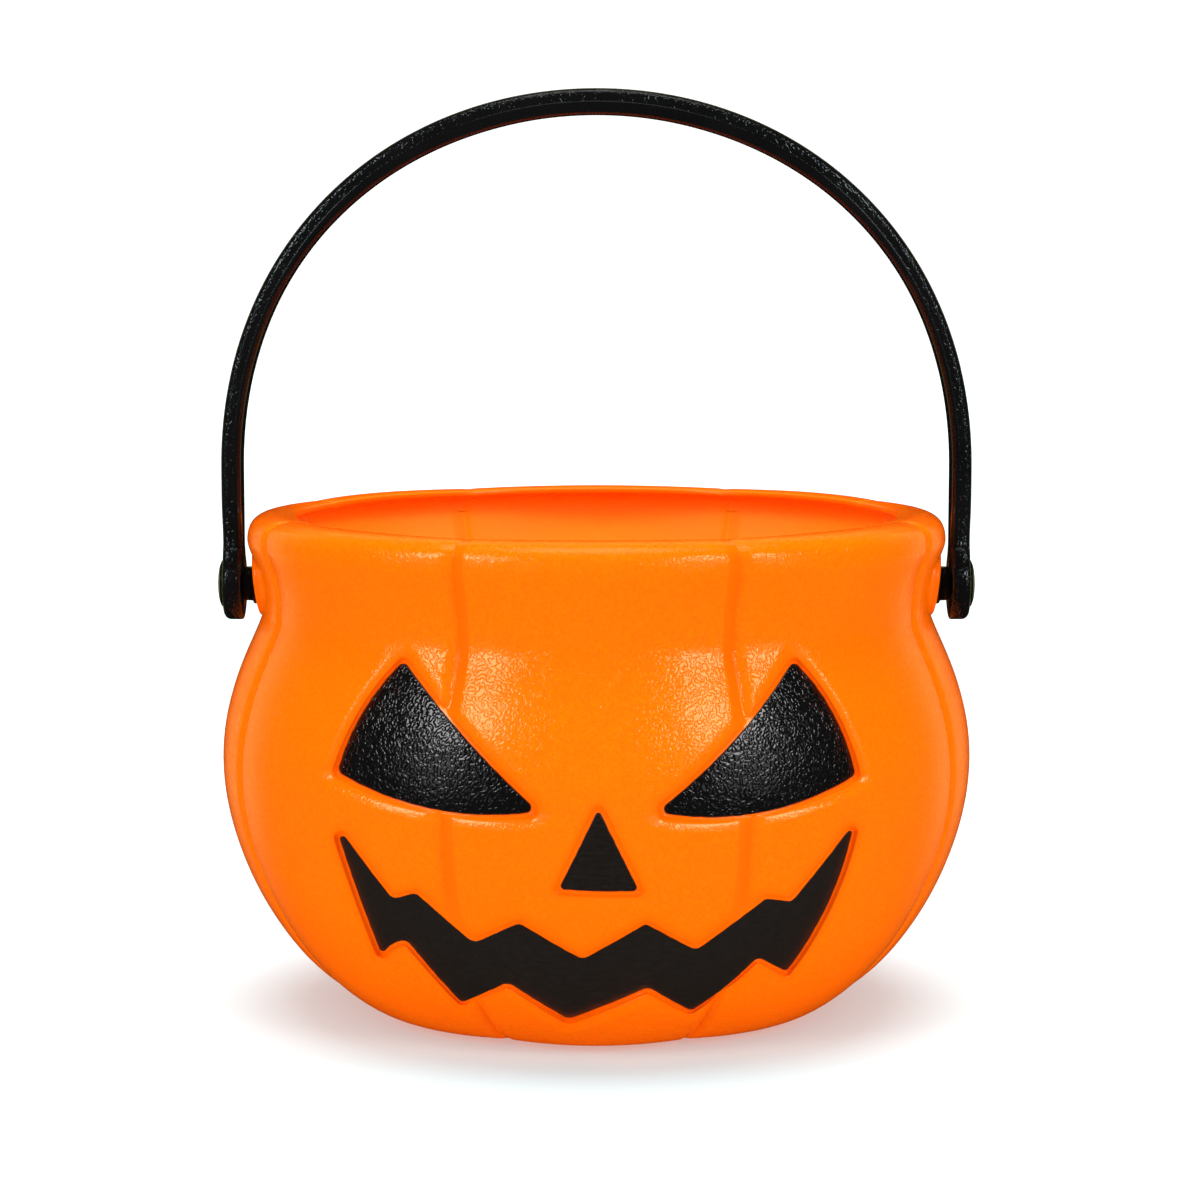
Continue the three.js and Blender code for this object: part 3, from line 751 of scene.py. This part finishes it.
# Turned pieces on the pivots, all along X
def eased_line(corners, steps=4):
    """Line through corners [a, b, easing]; an eased corner becomes a small curve."""
    points = [Vector(corners[0][:2])]
    for before, here, after in zip(corners, corners[1:], corners[2:]):
        corner = Vector(here[:2])
        if here[2] <= 0:
            points.append(corner)
            continue
        start = corner + (Vector(before[:2]) - corner).normalized() * here[2]
        end = corner + (Vector(after[:2]) - corner).normalized() * here[2]
        curve = interpolate_bezier(start.to_3d(), start.lerp(corner, 0.55).to_3d(),
                                   end.lerp(corner, 0.55).to_3d(), end.to_3d(), steps + 1)
        points += [p.xy for p in curve]
    return points + [Vector(corners[-1][:2])]


def turned_piece(bm, corners, steps=64):
    """Spin a section of [x, radius, easing] corners round the X axis."""
    line = eased_line(corners)
    verts = [bm.verts.new((p.x, 0, p.y)) for p in line]
    edges = [bm.edges.new(pair) for pair in zip(verts, verts[1:])]
    bmesh.ops.spin(bm, geom=verts + edges, cent=(0, 0, 0), axis=(1, 0, 0), dvec=(0, 0, 0),
                   angle=math.tau, steps=steps, use_merge=True, use_normal_flip=False,
                   use_duplicate=False)
    return bm


def mirrored_to(bm, side):
    """Pieces are made on the right; the left one is the same turned half round."""
    if side < 0:
        bmesh.ops.rotate(bm, verts=bm.verts, cent=(0, 0, 0), matrix=Matrix.Rotation(math.pi, 3, "Z"))


def lifted(bm, x, tilt=0):
    bmesh.ops.rotate(bm, verts=bm.verts, cent=(0, 0, 0), matrix=Matrix.Rotation(tilt, 3, "Y"))
    bmesh.ops.translate(bm, verts=bm.verts, vec=(x, 0, PIVOT_Z))


def closed_up(bm):
    bmesh.ops.remove_doubles(bm, verts=bm.verts, dist=POLE_REACH)
    bmesh.ops.recalc_face_normals(bm, faces=bm.faces)


def bucket_pad(name, side, finish):
    """Round pad moulded on the wall, with the seat of the bush sunk in its tilted face."""
    bm = bmesh.new()
    seat = FLANGE_R + SEAT_CLEARANCE
    turned_piece(bm, [
        [-PAD_ROOT, 0, 0],
        [-PAD_ROOT, PAD_R + PAD_DRAFT, 0.2],
        [-PAD_EDGE, PAD_R, 0.3],
        [0, PAD_R - PAD_EDGE, 0.3],
        [0, seat, 0.15],
        [-SEAT_DEPTH, seat - 0.05, 0.15],
        [-SEAT_DEPTH, 0, 0],
    ], ROUND_STEPS)
    grain_of = bm.verts.layers.float.new("grain")
    painted_glow_of = bm.verts.layers.float.new("inside")
    for vert in bm.verts:
        vert[grain_of] = 0.5 if -PAD_EDGE < vert.co.x else 0.2
        # Painted glow on the pad's root, which stands inside the wall
        vert[painted_glow_of] = painted_inside_glow(PIVOT_Z) if vert.co.x < -PAD_ROOT / 2 else 0.0
    closed_up(bm)
    lifted(bm, PAD_X, math.radians(PAD_TILT))
    mirrored_to(bm, side)
    return finished_piece(name, bm, finish, "bucket_body")


def flanged_bush(name, side, finish):
    bm = bmesh.new()
    turned_piece(bm, [
        [SEAT_X + GAP, 0, 0],
        [SEAT_X + GAP, FLANGE_R, 0.2],
        [FLANGE_X, FLANGE_R, 0.35],
        [FLANGE_X, BARREL_R + 0.1, 0.4],
        [EYE_X - GAP, BARREL_R, 0.15],
        [EYE_X - GAP, 0, 0],
    ])
    closed_up(bm)
    lifted(bm, 0)
    mirrored_to(bm, side)
    return finished_piece(name + "_turned", bm, finish, "bucket_body", [name])


def pivot_rivet(name, side, finish):
    """Domed head outside the eye, a shank through the wall, and a split tip that holds inside."""
    inside = SEAT_X - WALL - GAP
    root = inside + SPLIT_LENGTH - BARB_LENGTH - GAP
    tip = bmesh.new()
    turned_piece(tip, [
        [inside - BARB_LENGTH, 0, 0],
        [inside - BARB_LENGTH, TIP_R, 0.4],
        [inside - BARB_R / 2, BARB_R, 0.5],
        [inside, BARB_R, 0.2],
        [inside, SHANK_R, 0.15],
        [root, SHANK_R, 0],
        [root, 0, 0],
    ], 48)
    closed_up(tip)
    cut = bmesh.ops.bisect_plane(tip, geom=tip.verts[:] + tip.edges[:] + tip.faces[:], dist=CUT_REACH,
                                 plane_co=(0, 0, SPLIT_WIDTH / 2), plane_no=(0, 0, 1), clear_inner=True)
    rims = [g for g in cut["geom_cut"] if isinstance(g, bmesh.types.BMEdge)]
    bmesh.ops.holes_fill(tip, edges=rims, sides=0)
    bmesh.ops.recalc_face_normals(tip, faces=tip.faces)
    other = tip.copy()
    bmesh.ops.rotate(other, verts=other.verts, cent=(0, 0, 0), matrix=Matrix.Rotation(math.pi, 3, "X"))
    head = bmesh.new()
    turned_piece(head, [
        [root, 0, 0],
        [root, SHANK_R, 0],
        [HEAD_X, SHANK_R, 0.2],
        [HEAD_X, HEAD_R - 0.1, 0.15],
        [HEAD_X + HEAD_EDGE / 2, HEAD_R, 0.3],
        [HEAD_X + HEAD_HEIGHT * 0.62, HEAD_R - HEAD_EDGE, 1.0],
        [HEAD_X + HEAD_HEIGHT, HEAD_R * 0.42, 1.6],
        [HEAD_X + HEAD_HEIGHT, 0, 0],
    ], ROUND_STEPS)
    closed_up(head)
    bm = joined([tip, other, head])
    lifted(bm, 0)
    mirrored_to(bm, side)
    return finished_piece(name + "_split", bm, finish, "bucket_body", [name])


# Handle
def bar_section(thickness, sink, swell=0):
    """Half of the bar's section as (u, v, grain), with u from its outer face and v from its middle."""
    half = BAR_DEPTH / 2 + swell
    corners = [
        [0, 0, 0],
        [0, sink - half, BAR_EDGE],
        [PANEL_END, sink - half, 0.12],
        [PANEL_END + 0.15, -half, 0.12],
        [PANEL_END + 0.9, -half, 0.25],
        [thickness, BAR_TAPER - half, BAR_INNER_EDGE],
        [thickness, 0, 0],
    ]
    line = eased_line(corners, 6)
    return [(p.x, p.y, smooth((p.x - 0.2) / 0.8) if p.x < PANEL_END + 0.1 else 0.0) for p in line]


def arch_stations(steps):
    """Outer line of one half of the arch at even distances, with its direction."""
    leg_x, spring_z, crown_z = EYE_X + LEG_THICKNESS, PIVOT_Z + LEG_RISE, PIVOT_Z + HANDLE_RISE
    line = interpolate_bezier((leg_x, spring_z), (leg_x, spring_z + SHOULDER_REACH),
                              (CROWN_REACH, crown_z), (0, crown_z), ARCH_SAMPLES)
    reach = [0.0]
    for a, b in zip(line, line[1:]):
        reach.append(reach[-1] + (b - a).length)
    stations = []
    for i in range(steps + 1):
        at = reach[-1] * i / steps
        k = min(max(bisect_left(reach, at), 1), len(line) - 1)
        share = (at - reach[k - 1]) / (reach[k] - reach[k - 1])
        along = (line[k] - line[k - 1]).normalized()
        if i == steps:
            along = Vector((-1, 0))
        grip = smooth((i / steps - GRIP_START) / GRIP_RUN)
        stations.append((line[k - 1].lerp(line[k], share), along,
                         mix(LEG_THICKNESS, GRIP_THICKNESS, grip)))
    return stations


def bar_stations():
    """Along the bar from eye to eye: outer point, direction, thickness, panel's sink and swell."""
    step_z = PIVOT_Z + EYE_R + GAP
    eye_outer = EYE_X + EYE_THICKNESS
    spring_z = PIVOT_Z + LEG_RISE
    leg_x = EYE_X + LEG_THICKNESS
    up = Vector((0, 1))
    half = [
        (Vector((eye_outer - 0.05, step_z - EYE_LAP)), up, EYE_THICKNESS - 0.1, 0, EYE_SWELL),
        (Vector((eye_outer - 0.05, step_z - 0.4)), up, EYE_THICKNESS - 0.1, 0, EYE_LEDGE),
        (Vector((eye_outer - 0.05, step_z - 0.1)), up, EYE_THICKNESS - 0.1, 0, EYE_LEDGE * 0.7),
        (Vector((eye_outer, step_z)), up, EYE_THICKNESS, 0, 0),
        (Vector((eye_outer, step_z + 0.9)), up, EYE_THICKNESS, 0, 0),
        (Vector((eye_outer, step_z + 1.2)), up, EYE_THICKNESS, PANEL_SINK, 0),
    ]
    for i in range(1, LEG_STEPS):
        share = smooth(i / LEG_STEPS * 1.6)
        z = mix(step_z + 1.2, spring_z, i / LEG_STEPS)
        half.append((Vector((mix(eye_outer, leg_x, share), z)), up,
                     mix(EYE_THICKNESS, LEG_THICKNESS, share), PANEL_SINK, 0))
    half += [(*station, PANEL_SINK, 0) for station in arch_stations(ARCH_STEPS)]
    mirrored = [(Vector((-outer.x, outer.y)), Vector((along.x, -along.y)), *rest)
                for outer, along, *rest in reversed(half[:-1])]
    return half + mirrored


def handle_bar():
    bm = bmesh.new()
    grain_of = bm.verts.layers.float.new("grain")
    place_of = bm.verts.layers.float_vector.new("section")
    for number, (outer, along, *rest) in enumerate(bar_stations()):
        half = bar_section(*rest)
        section = half + [(u, -v, grain) for u, v, grain in reversed(half[1:-1])]
        if number == 0:
            ring = [bm.verts.new((u, v, 0)) for u, v, _ in section]
            edges = [bm.edges.new(pair) for pair in zip(ring, ring[1:] + ring[:1])]
            for i, vert in enumerate(ring):
                vert[place_of] = (i, 0, 0)
            bm.faces.new(ring)
        else:
            made = bmesh.ops.extrude_edge_only(bm, edges=edges)["geom"]
            ring = [g for g in made if isinstance(g, bmesh.types.BMVert)]
            edges = [g for g in made if isinstance(g, bmesh.types.BMEdge)]
        inward = Vector((-along.y, along.x))
        for vert in ring:
            u, v, grain = section[round(vert[place_of].x)]
            vert[grain_of] = grain
            vert.co = (outer.x + inward.x * u, v, outer.y + inward.y * u)
    bmesh.ops.contextual_create(bm, geom=edges)
    bmesh.ops.recalc_face_normals(bm, faces=bm.faces)
    return bm


def handle_eye(side):
    bm = bmesh.new()
    outer = EYE_X + EYE_THICKNESS
    turned_piece(bm, [
        [EYE_X, SHANK_R + GAP, 0],
        [EYE_X, EYE_R, 0.5],
        [outer, EYE_R, EYE_EDGE],
        [outer, SHANK_R + GAP, 0],
        [EYE_X, SHANK_R + GAP, 0],
    ], 96)
    grain_of = bm.verts.layers.float.new("grain")
    for vert in bm.verts:
        vert[grain_of] = EYE_GRAIN
    closed_up(bm)
    lifted(bm, 0)
    mirrored_to(bm, side)
    return bm


def bail_handle(finish):
    bm = joined([handle_bar(), handle_eye(1), handle_eye(-1)])
    return finished_piece("bail_handle", bm, finish, "handle_body", ["handle"])


# Finishes
def new_finish(name):
    finish = bpy.data.materials.new(name)
    finish.use_nodes = True
    nodes = finish.node_tree.nodes
    return finish, nodes, finish.node_tree.links, nodes["Principled BSDF"]


def add_node(nodes, kind, **settings):
    node = nodes.new("ShaderNode" + kind)
    for name, value in settings.items():
        if hasattr(node, name):
            setattr(node, name, value)
        else:
            node.inputs[name.replace("_", " ")].default_value = value
    return node


def ramp(nodes, links, source, stops, ease="LINEAR"):
    node = add_node(nodes, "ValToRGB")
    node.color_ramp.interpolation = ease
    first, last = node.color_ramp.elements
    first.position, first.color = stops[0][0], (*stops[0][1], 1)
    last.position, last.color = stops[-1][0], (*stops[-1][1], 1)
    for position, colour in stops[1:-1]:
        node.color_ramp.elements.new(position).color = (*colour, 1)
    links.new(source, node.inputs["Fac"])
    return node.outputs["Color"]


def arithmetic(nodes, links, operation, a, b):
    node = add_node(nodes, "Math", operation=operation)
    for socket, value in zip(node.inputs, (a, b)):
        if isinstance(value, (int, float)):
            socket.default_value = value
        else:
            links.new(value, socket)
    return node.outputs["Value"]


def worm_grain(nodes, links, place, scale):
    """Leathery grain: short curved ridges between the lines where a noise crosses its middle."""
    wander = add_node(nodes, "TexNoise", Scale=scale * 0.6, Detail=1.0)
    links.new(place, wander.inputs["Vector"])
    bent = add_node(nodes, "VectorMath", operation="MULTIPLY_ADD")
    links.new(wander.outputs["Color"], bent.inputs[0])
    bent.inputs[1].default_value = (WORM_BEND,) * 3
    links.new(place, bent.inputs[2])
    noise_node = add_node(nodes, "TexNoise", Scale=scale, Detail=0.4, Roughness=0.5)
    links.new(bent.outputs["Vector"], noise_node.inputs["Vector"])
    centred = arithmetic(nodes, links, "SUBTRACT", noise_node.outputs["Fac"], 0.5)
    ridge = arithmetic(nodes, links, "ABSOLUTE", centred, 0)
    stops = [(0, (0,) * 3), (0.1, (0.7,) * 3), (0.3, (1,) * 3)]
    return ramp(nodes, links, ridge, stops, "B_SPLINE")


def relief(nodes, links, height, distance, strength=1.0, under=None):
    bump = add_node(nodes, "Bump", Strength=strength, Distance=distance)
    links.new(height, bump.inputs["Height"])
    if under:
        links.new(under, bump.inputs["Normal"])
    return bump.outputs["Normal"]


def orange_plastic():
    finish, nodes, links, shader = new_finish("orange_plastic")
    place = add_node(nodes, "TexCoord").outputs["Object"]
    grained = add_node(nodes, "Attribute", attribute_name="grain").outputs["Fac"]
    worm = worm_grain(nodes, links, place, ORANGE_GRAIN_SCALE)
    height = arithmetic(nodes, links, "MULTIPLY", worm, grained)
    fine = add_node(nodes, "TexNoise", Scale=2600, Detail=2.0)
    links.new(place, fine.inputs["Vector"])
    skin = relief(nodes, links, fine.outputs["Fac"], FINE_BUMP_HEIGHT)
    links.new(relief(nodes, links, height, ORANGE_GRAIN_HEIGHT, 1.0, skin), shader.inputs["Normal"])
    cloud = add_node(nodes, "TexNoise", Scale=16, Detail=3.0)
    links.new(place, cloud.inputs["Vector"])
    skin_tone = ramp(nodes, links, cloud.outputs["Fac"], [(0.3, ORANGE_DEEP), (0.7, ORANGE_BRIGHT)])
    # Painted shade: the grain's valleys and the smooth skin of groove flanks, recess shoulders and
    # inside are painted darker
    painted_shade_share = arithmetic(nodes, links, "SUBTRACT", 1.0, height)
    painted_shade_mix = add_node(nodes, "Mix", data_type="RGBA")
    painted_shade_mix.inputs[7].default_value = (*ORANGE_PAINTED_SHADE, 1)
    links.new(painted_shade_share, painted_shade_mix.inputs["Factor"])
    links.new(skin_tone, painted_shade_mix.inputs[6])
    tone = painted_shade_mix.outputs[2]
    # Painted glow: where the "inside" mask says, the colour is painted paler for light through the
    # wall; the same mask also makes the inside rougher
    painted_glow_share = add_node(nodes, "Attribute", attribute_name="inside").outputs["Fac"]
    through = add_node(nodes, "Mix", data_type="RGBA")
    through.inputs[7].default_value = (*ORANGE_INSIDE_PAINTED_GLOW, 1)
    links.new(painted_glow_share, through.inputs["Factor"])
    links.new(tone, through.inputs[6])
    links.new(through.outputs[2], shader.inputs["Base Color"])
    gloss = arithmetic(nodes, links, "MULTIPLY_ADD", painted_glow_share, INSIDE_ROUGHNESS)
    gloss.node.inputs[2].default_value = ORANGE_ROUGHNESS
    links.new(gloss, shader.inputs["Roughness"])
    shader.inputs["Subsurface Weight"].default_value = 0.25
    shader.inputs["Subsurface Radius"].default_value = (1.0, 0.25, 0.04)
    shader.inputs["Subsurface Scale"].default_value = 0.0012
    shader.inputs["Specular IOR Level"].default_value = 0.5
    shader.inputs["Specular Tint"].default_value = (1.0, 0.82, 0.45, 1)
    return finish


def black_paint():
    finish, nodes, links, shader = new_finish("black_paint")
    place = add_node(nodes, "TexCoord").outputs["Object"]
    grained = add_node(nodes, "Attribute", attribute_name="grain").outputs["Fac"]
    worm = worm_grain(nodes, links, place, ORANGE_GRAIN_SCALE)
    height = arithmetic(nodes, links, "MULTIPLY", worm, grained)
    strokes = add_node(nodes, "Mapping", vector_type="POINT")
    strokes.inputs["Scale"].default_value = (0.25, 1, 1)
    links.new(place, strokes.inputs["Vector"])
    brush = add_node(nodes, "TexNoise", Scale=1400, Detail=3.0)
    links.new(strokes.outputs["Vector"], brush.inputs["Vector"])
    film = relief(nodes, links, brush.outputs["Fac"], PAINT_FILM_HEIGHT)
    links.new(relief(nodes, links, height, PAINT_GRAIN_HEIGHT, 1.0, film), shader.inputs["Normal"])
    black = ramp(nodes, links, brush.outputs["Fac"], PAINT_BLACK)
    brown = ramp(nodes, links, brush.outputs["Fac"], PAINT_BROWN)
    tone = add_node(nodes, "Mix", data_type="RGBA")
    links.new(grained, tone.inputs["Factor"])
    links.new(brown, tone.inputs[6])
    links.new(black, tone.inputs[7])
    links.new(tone.outputs[2], shader.inputs["Base Color"])
    streak = arithmetic(nodes, links, "MULTIPLY_ADD", brush.outputs["Fac"], PAINT_STREAKS)
    streak.node.inputs[2].default_value = PAINT_ROUGHNESS
    gloss = arithmetic(nodes, links, "MULTIPLY_ADD", grained, PAINT_GRAIN_GLOSS)
    links.new(streak, gloss.node.inputs[2])
    links.new(gloss, shader.inputs["Roughness"])
    return finish


def black_plastic():
    finish, nodes, links, shader = new_finish("black_plastic")
    place = add_node(nodes, "TexCoord").outputs["Object"]
    grained = add_node(nodes, "Attribute", attribute_name="grain").outputs["Fac"]
    worm = worm_grain(nodes, links, place, HANDLE_GRAIN_SCALE)
    height = arithmetic(nodes, links, "MULTIPLY", worm, grained)
    fine = add_node(nodes, "TexNoise", Scale=3000, Detail=2.0)
    links.new(place, fine.inputs["Vector"])
    skin = relief(nodes, links, fine.outputs["Fac"], FINE_BUMP_HEIGHT)
    links.new(relief(nodes, links, height, HANDLE_GRAIN_HEIGHT, 1.0, skin), shader.inputs["Normal"])
    cloud = add_node(nodes, "TexNoise", Scale=60, Detail=3.0)
    links.new(place, cloud.inputs["Vector"])
    tone = ramp(nodes, links, cloud.outputs["Fac"], PLASTIC_BLACK)
    links.new(tone, shader.inputs["Base Color"])
    gloss = arithmetic(nodes, links, "MULTIPLY_ADD", grained, PLASTIC_GRAIN_ROUGHNESS)
    gloss.node.inputs[2].default_value = PLASTIC_ROUGHNESS
    links.new(gloss, shader.inputs["Roughness"])
    shader.inputs["Specular IOR Level"].default_value = 0.4
    shader.inputs["Specular Tint"].default_value = (0.8, 0.95, 1.0, 1)
    return finish


# Floor, light and camera
def pale_floor():
    bm = bmesh.new()
    bmesh.ops.create_grid(bm, x_segments=8, y_segments=8, size=4)
    mesh = bpy.data.meshes.new("pale_floor")
    bm.to_mesh(mesh)
    bm.free()
    floor = bpy.data.objects.new("pale_floor", mesh)
    bpy.context.scene.collection.objects.link(floor)
    finish, nodes, links, shader = new_finish("pale_floor")
    paper = add_node(nodes, "TexNoise", Scale=3, Detail=2.0)
    paler = [c + 0.008 for c in FLOOR_TONE]
    tone = ramp(nodes, links, paper.outputs["Fac"], [(0.3, FLOOR_TONE), (0.7, paler)])
    links.new(tone, shader.inputs["Base Color"])
    shader.inputs["Emission Color"].default_value = (1, 1, 1, 1)
    shader.inputs["Emission Strength"].default_value = FLOOR_GLOW
    shader.inputs["Roughness"].default_value = 0.9
    shader.inputs["Specular IOR Level"].default_value = 0.0
    mesh.materials.append(finish)
    floor.visible_glossy = floor.visible_shadow = False


def white_room():
    """White to the eye and lighting all round; reflections show only its backdrop and ceiling."""
    world = bpy.data.worlds.new("white_room")
    bpy.context.scene.world = world
    world.use_nodes = True
    world.cycles.sampling_method = "NONE"
    nodes, links = world.node_tree.nodes, world.node_tree.links
    nodes.clear()
    rays = add_node(nodes, "LightPath")
    seen = add_node(nodes, "Background", Color=(1, 1, 1, 1), Strength=ROOM_SEEN)
    soft = add_node(nodes, "Background", Color=(1, 1, 1, 1), Strength=ROOM_LIGHT)
    glint = add_node(nodes, "Background", Strength=1.0)
    towards = add_node(nodes, "SeparateXYZ")
    links.new(add_node(nodes, "TexCoord").outputs["Generated"], towards.inputs["Vector"])
    dark = (FRONT_GLINT,) * 3
    screen = [(0.6, dark), (0.8, SCREEN_GLINT), (0.94, dark)]
    behind = ramp(nodes, links, towards.outputs["Y"], screen)
    lifted_z = arithmetic(nodes, links, "ADD", towards.outputs["Z"], 0.4)
    level = ramp(nodes, links, lifted_z, [(0.0, (0.0,) * 3), (0.2, (1.0,) * 3)])
    above = ramp(nodes, links, towards.outputs["Z"], [(0.92, dark), (0.97, CEILING_GLINT)])
    wall = add_node(nodes, "Mix", data_type="RGBA", blend_type="MULTIPLY", Factor=1.0)
    links.new(behind, wall.inputs[6])
    links.new(level, wall.inputs[7])
    both = add_node(nodes, "Mix", data_type="RGBA", blend_type="LIGHTEN", Factor=1.0)
    links.new(wall.outputs[2], both.inputs[6])
    links.new(above, both.inputs[7])
    links.new(both.outputs[2], glint.inputs["Color"])
    by_gloss = add_node(nodes, "MixShader")
    by_eye = add_node(nodes, "MixShader")
    output = add_node(nodes, "OutputWorld")
    links.new(rays.outputs["Is Glossy Ray"], by_gloss.inputs["Fac"])
    links.new(soft.outputs["Background"], by_gloss.inputs[1])
    links.new(glint.outputs["Background"], by_gloss.inputs[2])
    links.new(rays.outputs["Is Camera Ray"], by_eye.inputs["Fac"])
    links.new(by_gloss.outputs["Shader"], by_eye.inputs[1])
    links.new(seen.outputs["Background"], by_eye.inputs[2])
    links.new(by_eye.outputs["Shader"], output.inputs["Surface"])


def softbox(name, turn, elevation, width, power, lights, shines):
    """A soft light so far away that it reaches the whole floor evenly."""
    light = bpy.data.lights.new(name, "SUN")
    light.energy = power
    light.angle = math.radians(width)
    lamp = bpy.data.objects.new(name, light)
    a, e = math.radians(turn), math.radians(elevation)
    away = Vector((math.sin(a) * math.cos(e), -math.cos(a) * math.cos(e), math.sin(e)))
    lamp.location = away
    lamp.visible_diffuse = lights
    lamp.visible_glossy = shines
    lamp.rotation_euler = away.to_track_quat("Z", "Y").to_euler()
    bpy.context.scene.collection.objects.link(lamp)


def photo_camera():
    lens = bpy.data.cameras.new("photo_camera")
    lens.lens = CAMERA_LENS
    lens.sensor_width = CAMERA_SENSOR
    lens.sensor_fit = "HORIZONTAL"
    lens.clip_start, lens.clip_end = 0.01, 30
    camera = bpy.data.objects.new("photo_camera", lens)
    camera.location = CAMERA_PLACE
    camera.rotation_euler = (math.radians(CAMERA_PITCH), 0, 0)
    bpy.context.scene.collection.objects.link(camera)
    bpy.context.scene.camera = camera


orange, paint, plastic = orange_plastic(), black_paint(), black_plastic()
bucket_shell(orange)
for feature, corners, depth, *_ in FEATURES:
    paint_coat(feature, corners, depth, PAINT_GRAIN[feature], paint)
for word, side in (("left", -1), ("right", 1)):
    bucket_pad(word + "_pad", side, orange)
    flanged_bush(word + "_flanged_bush", side, plastic)
    pivot_rivet(word + "_pivot_rivet", side, plastic)
bail_handle(plastic)

pale_floor()
white_room()
for box in SOFTBOXES:
    softbox(*box)
photo_camera()
bpy.context.scene.view_settings.view_transform = "Standard"
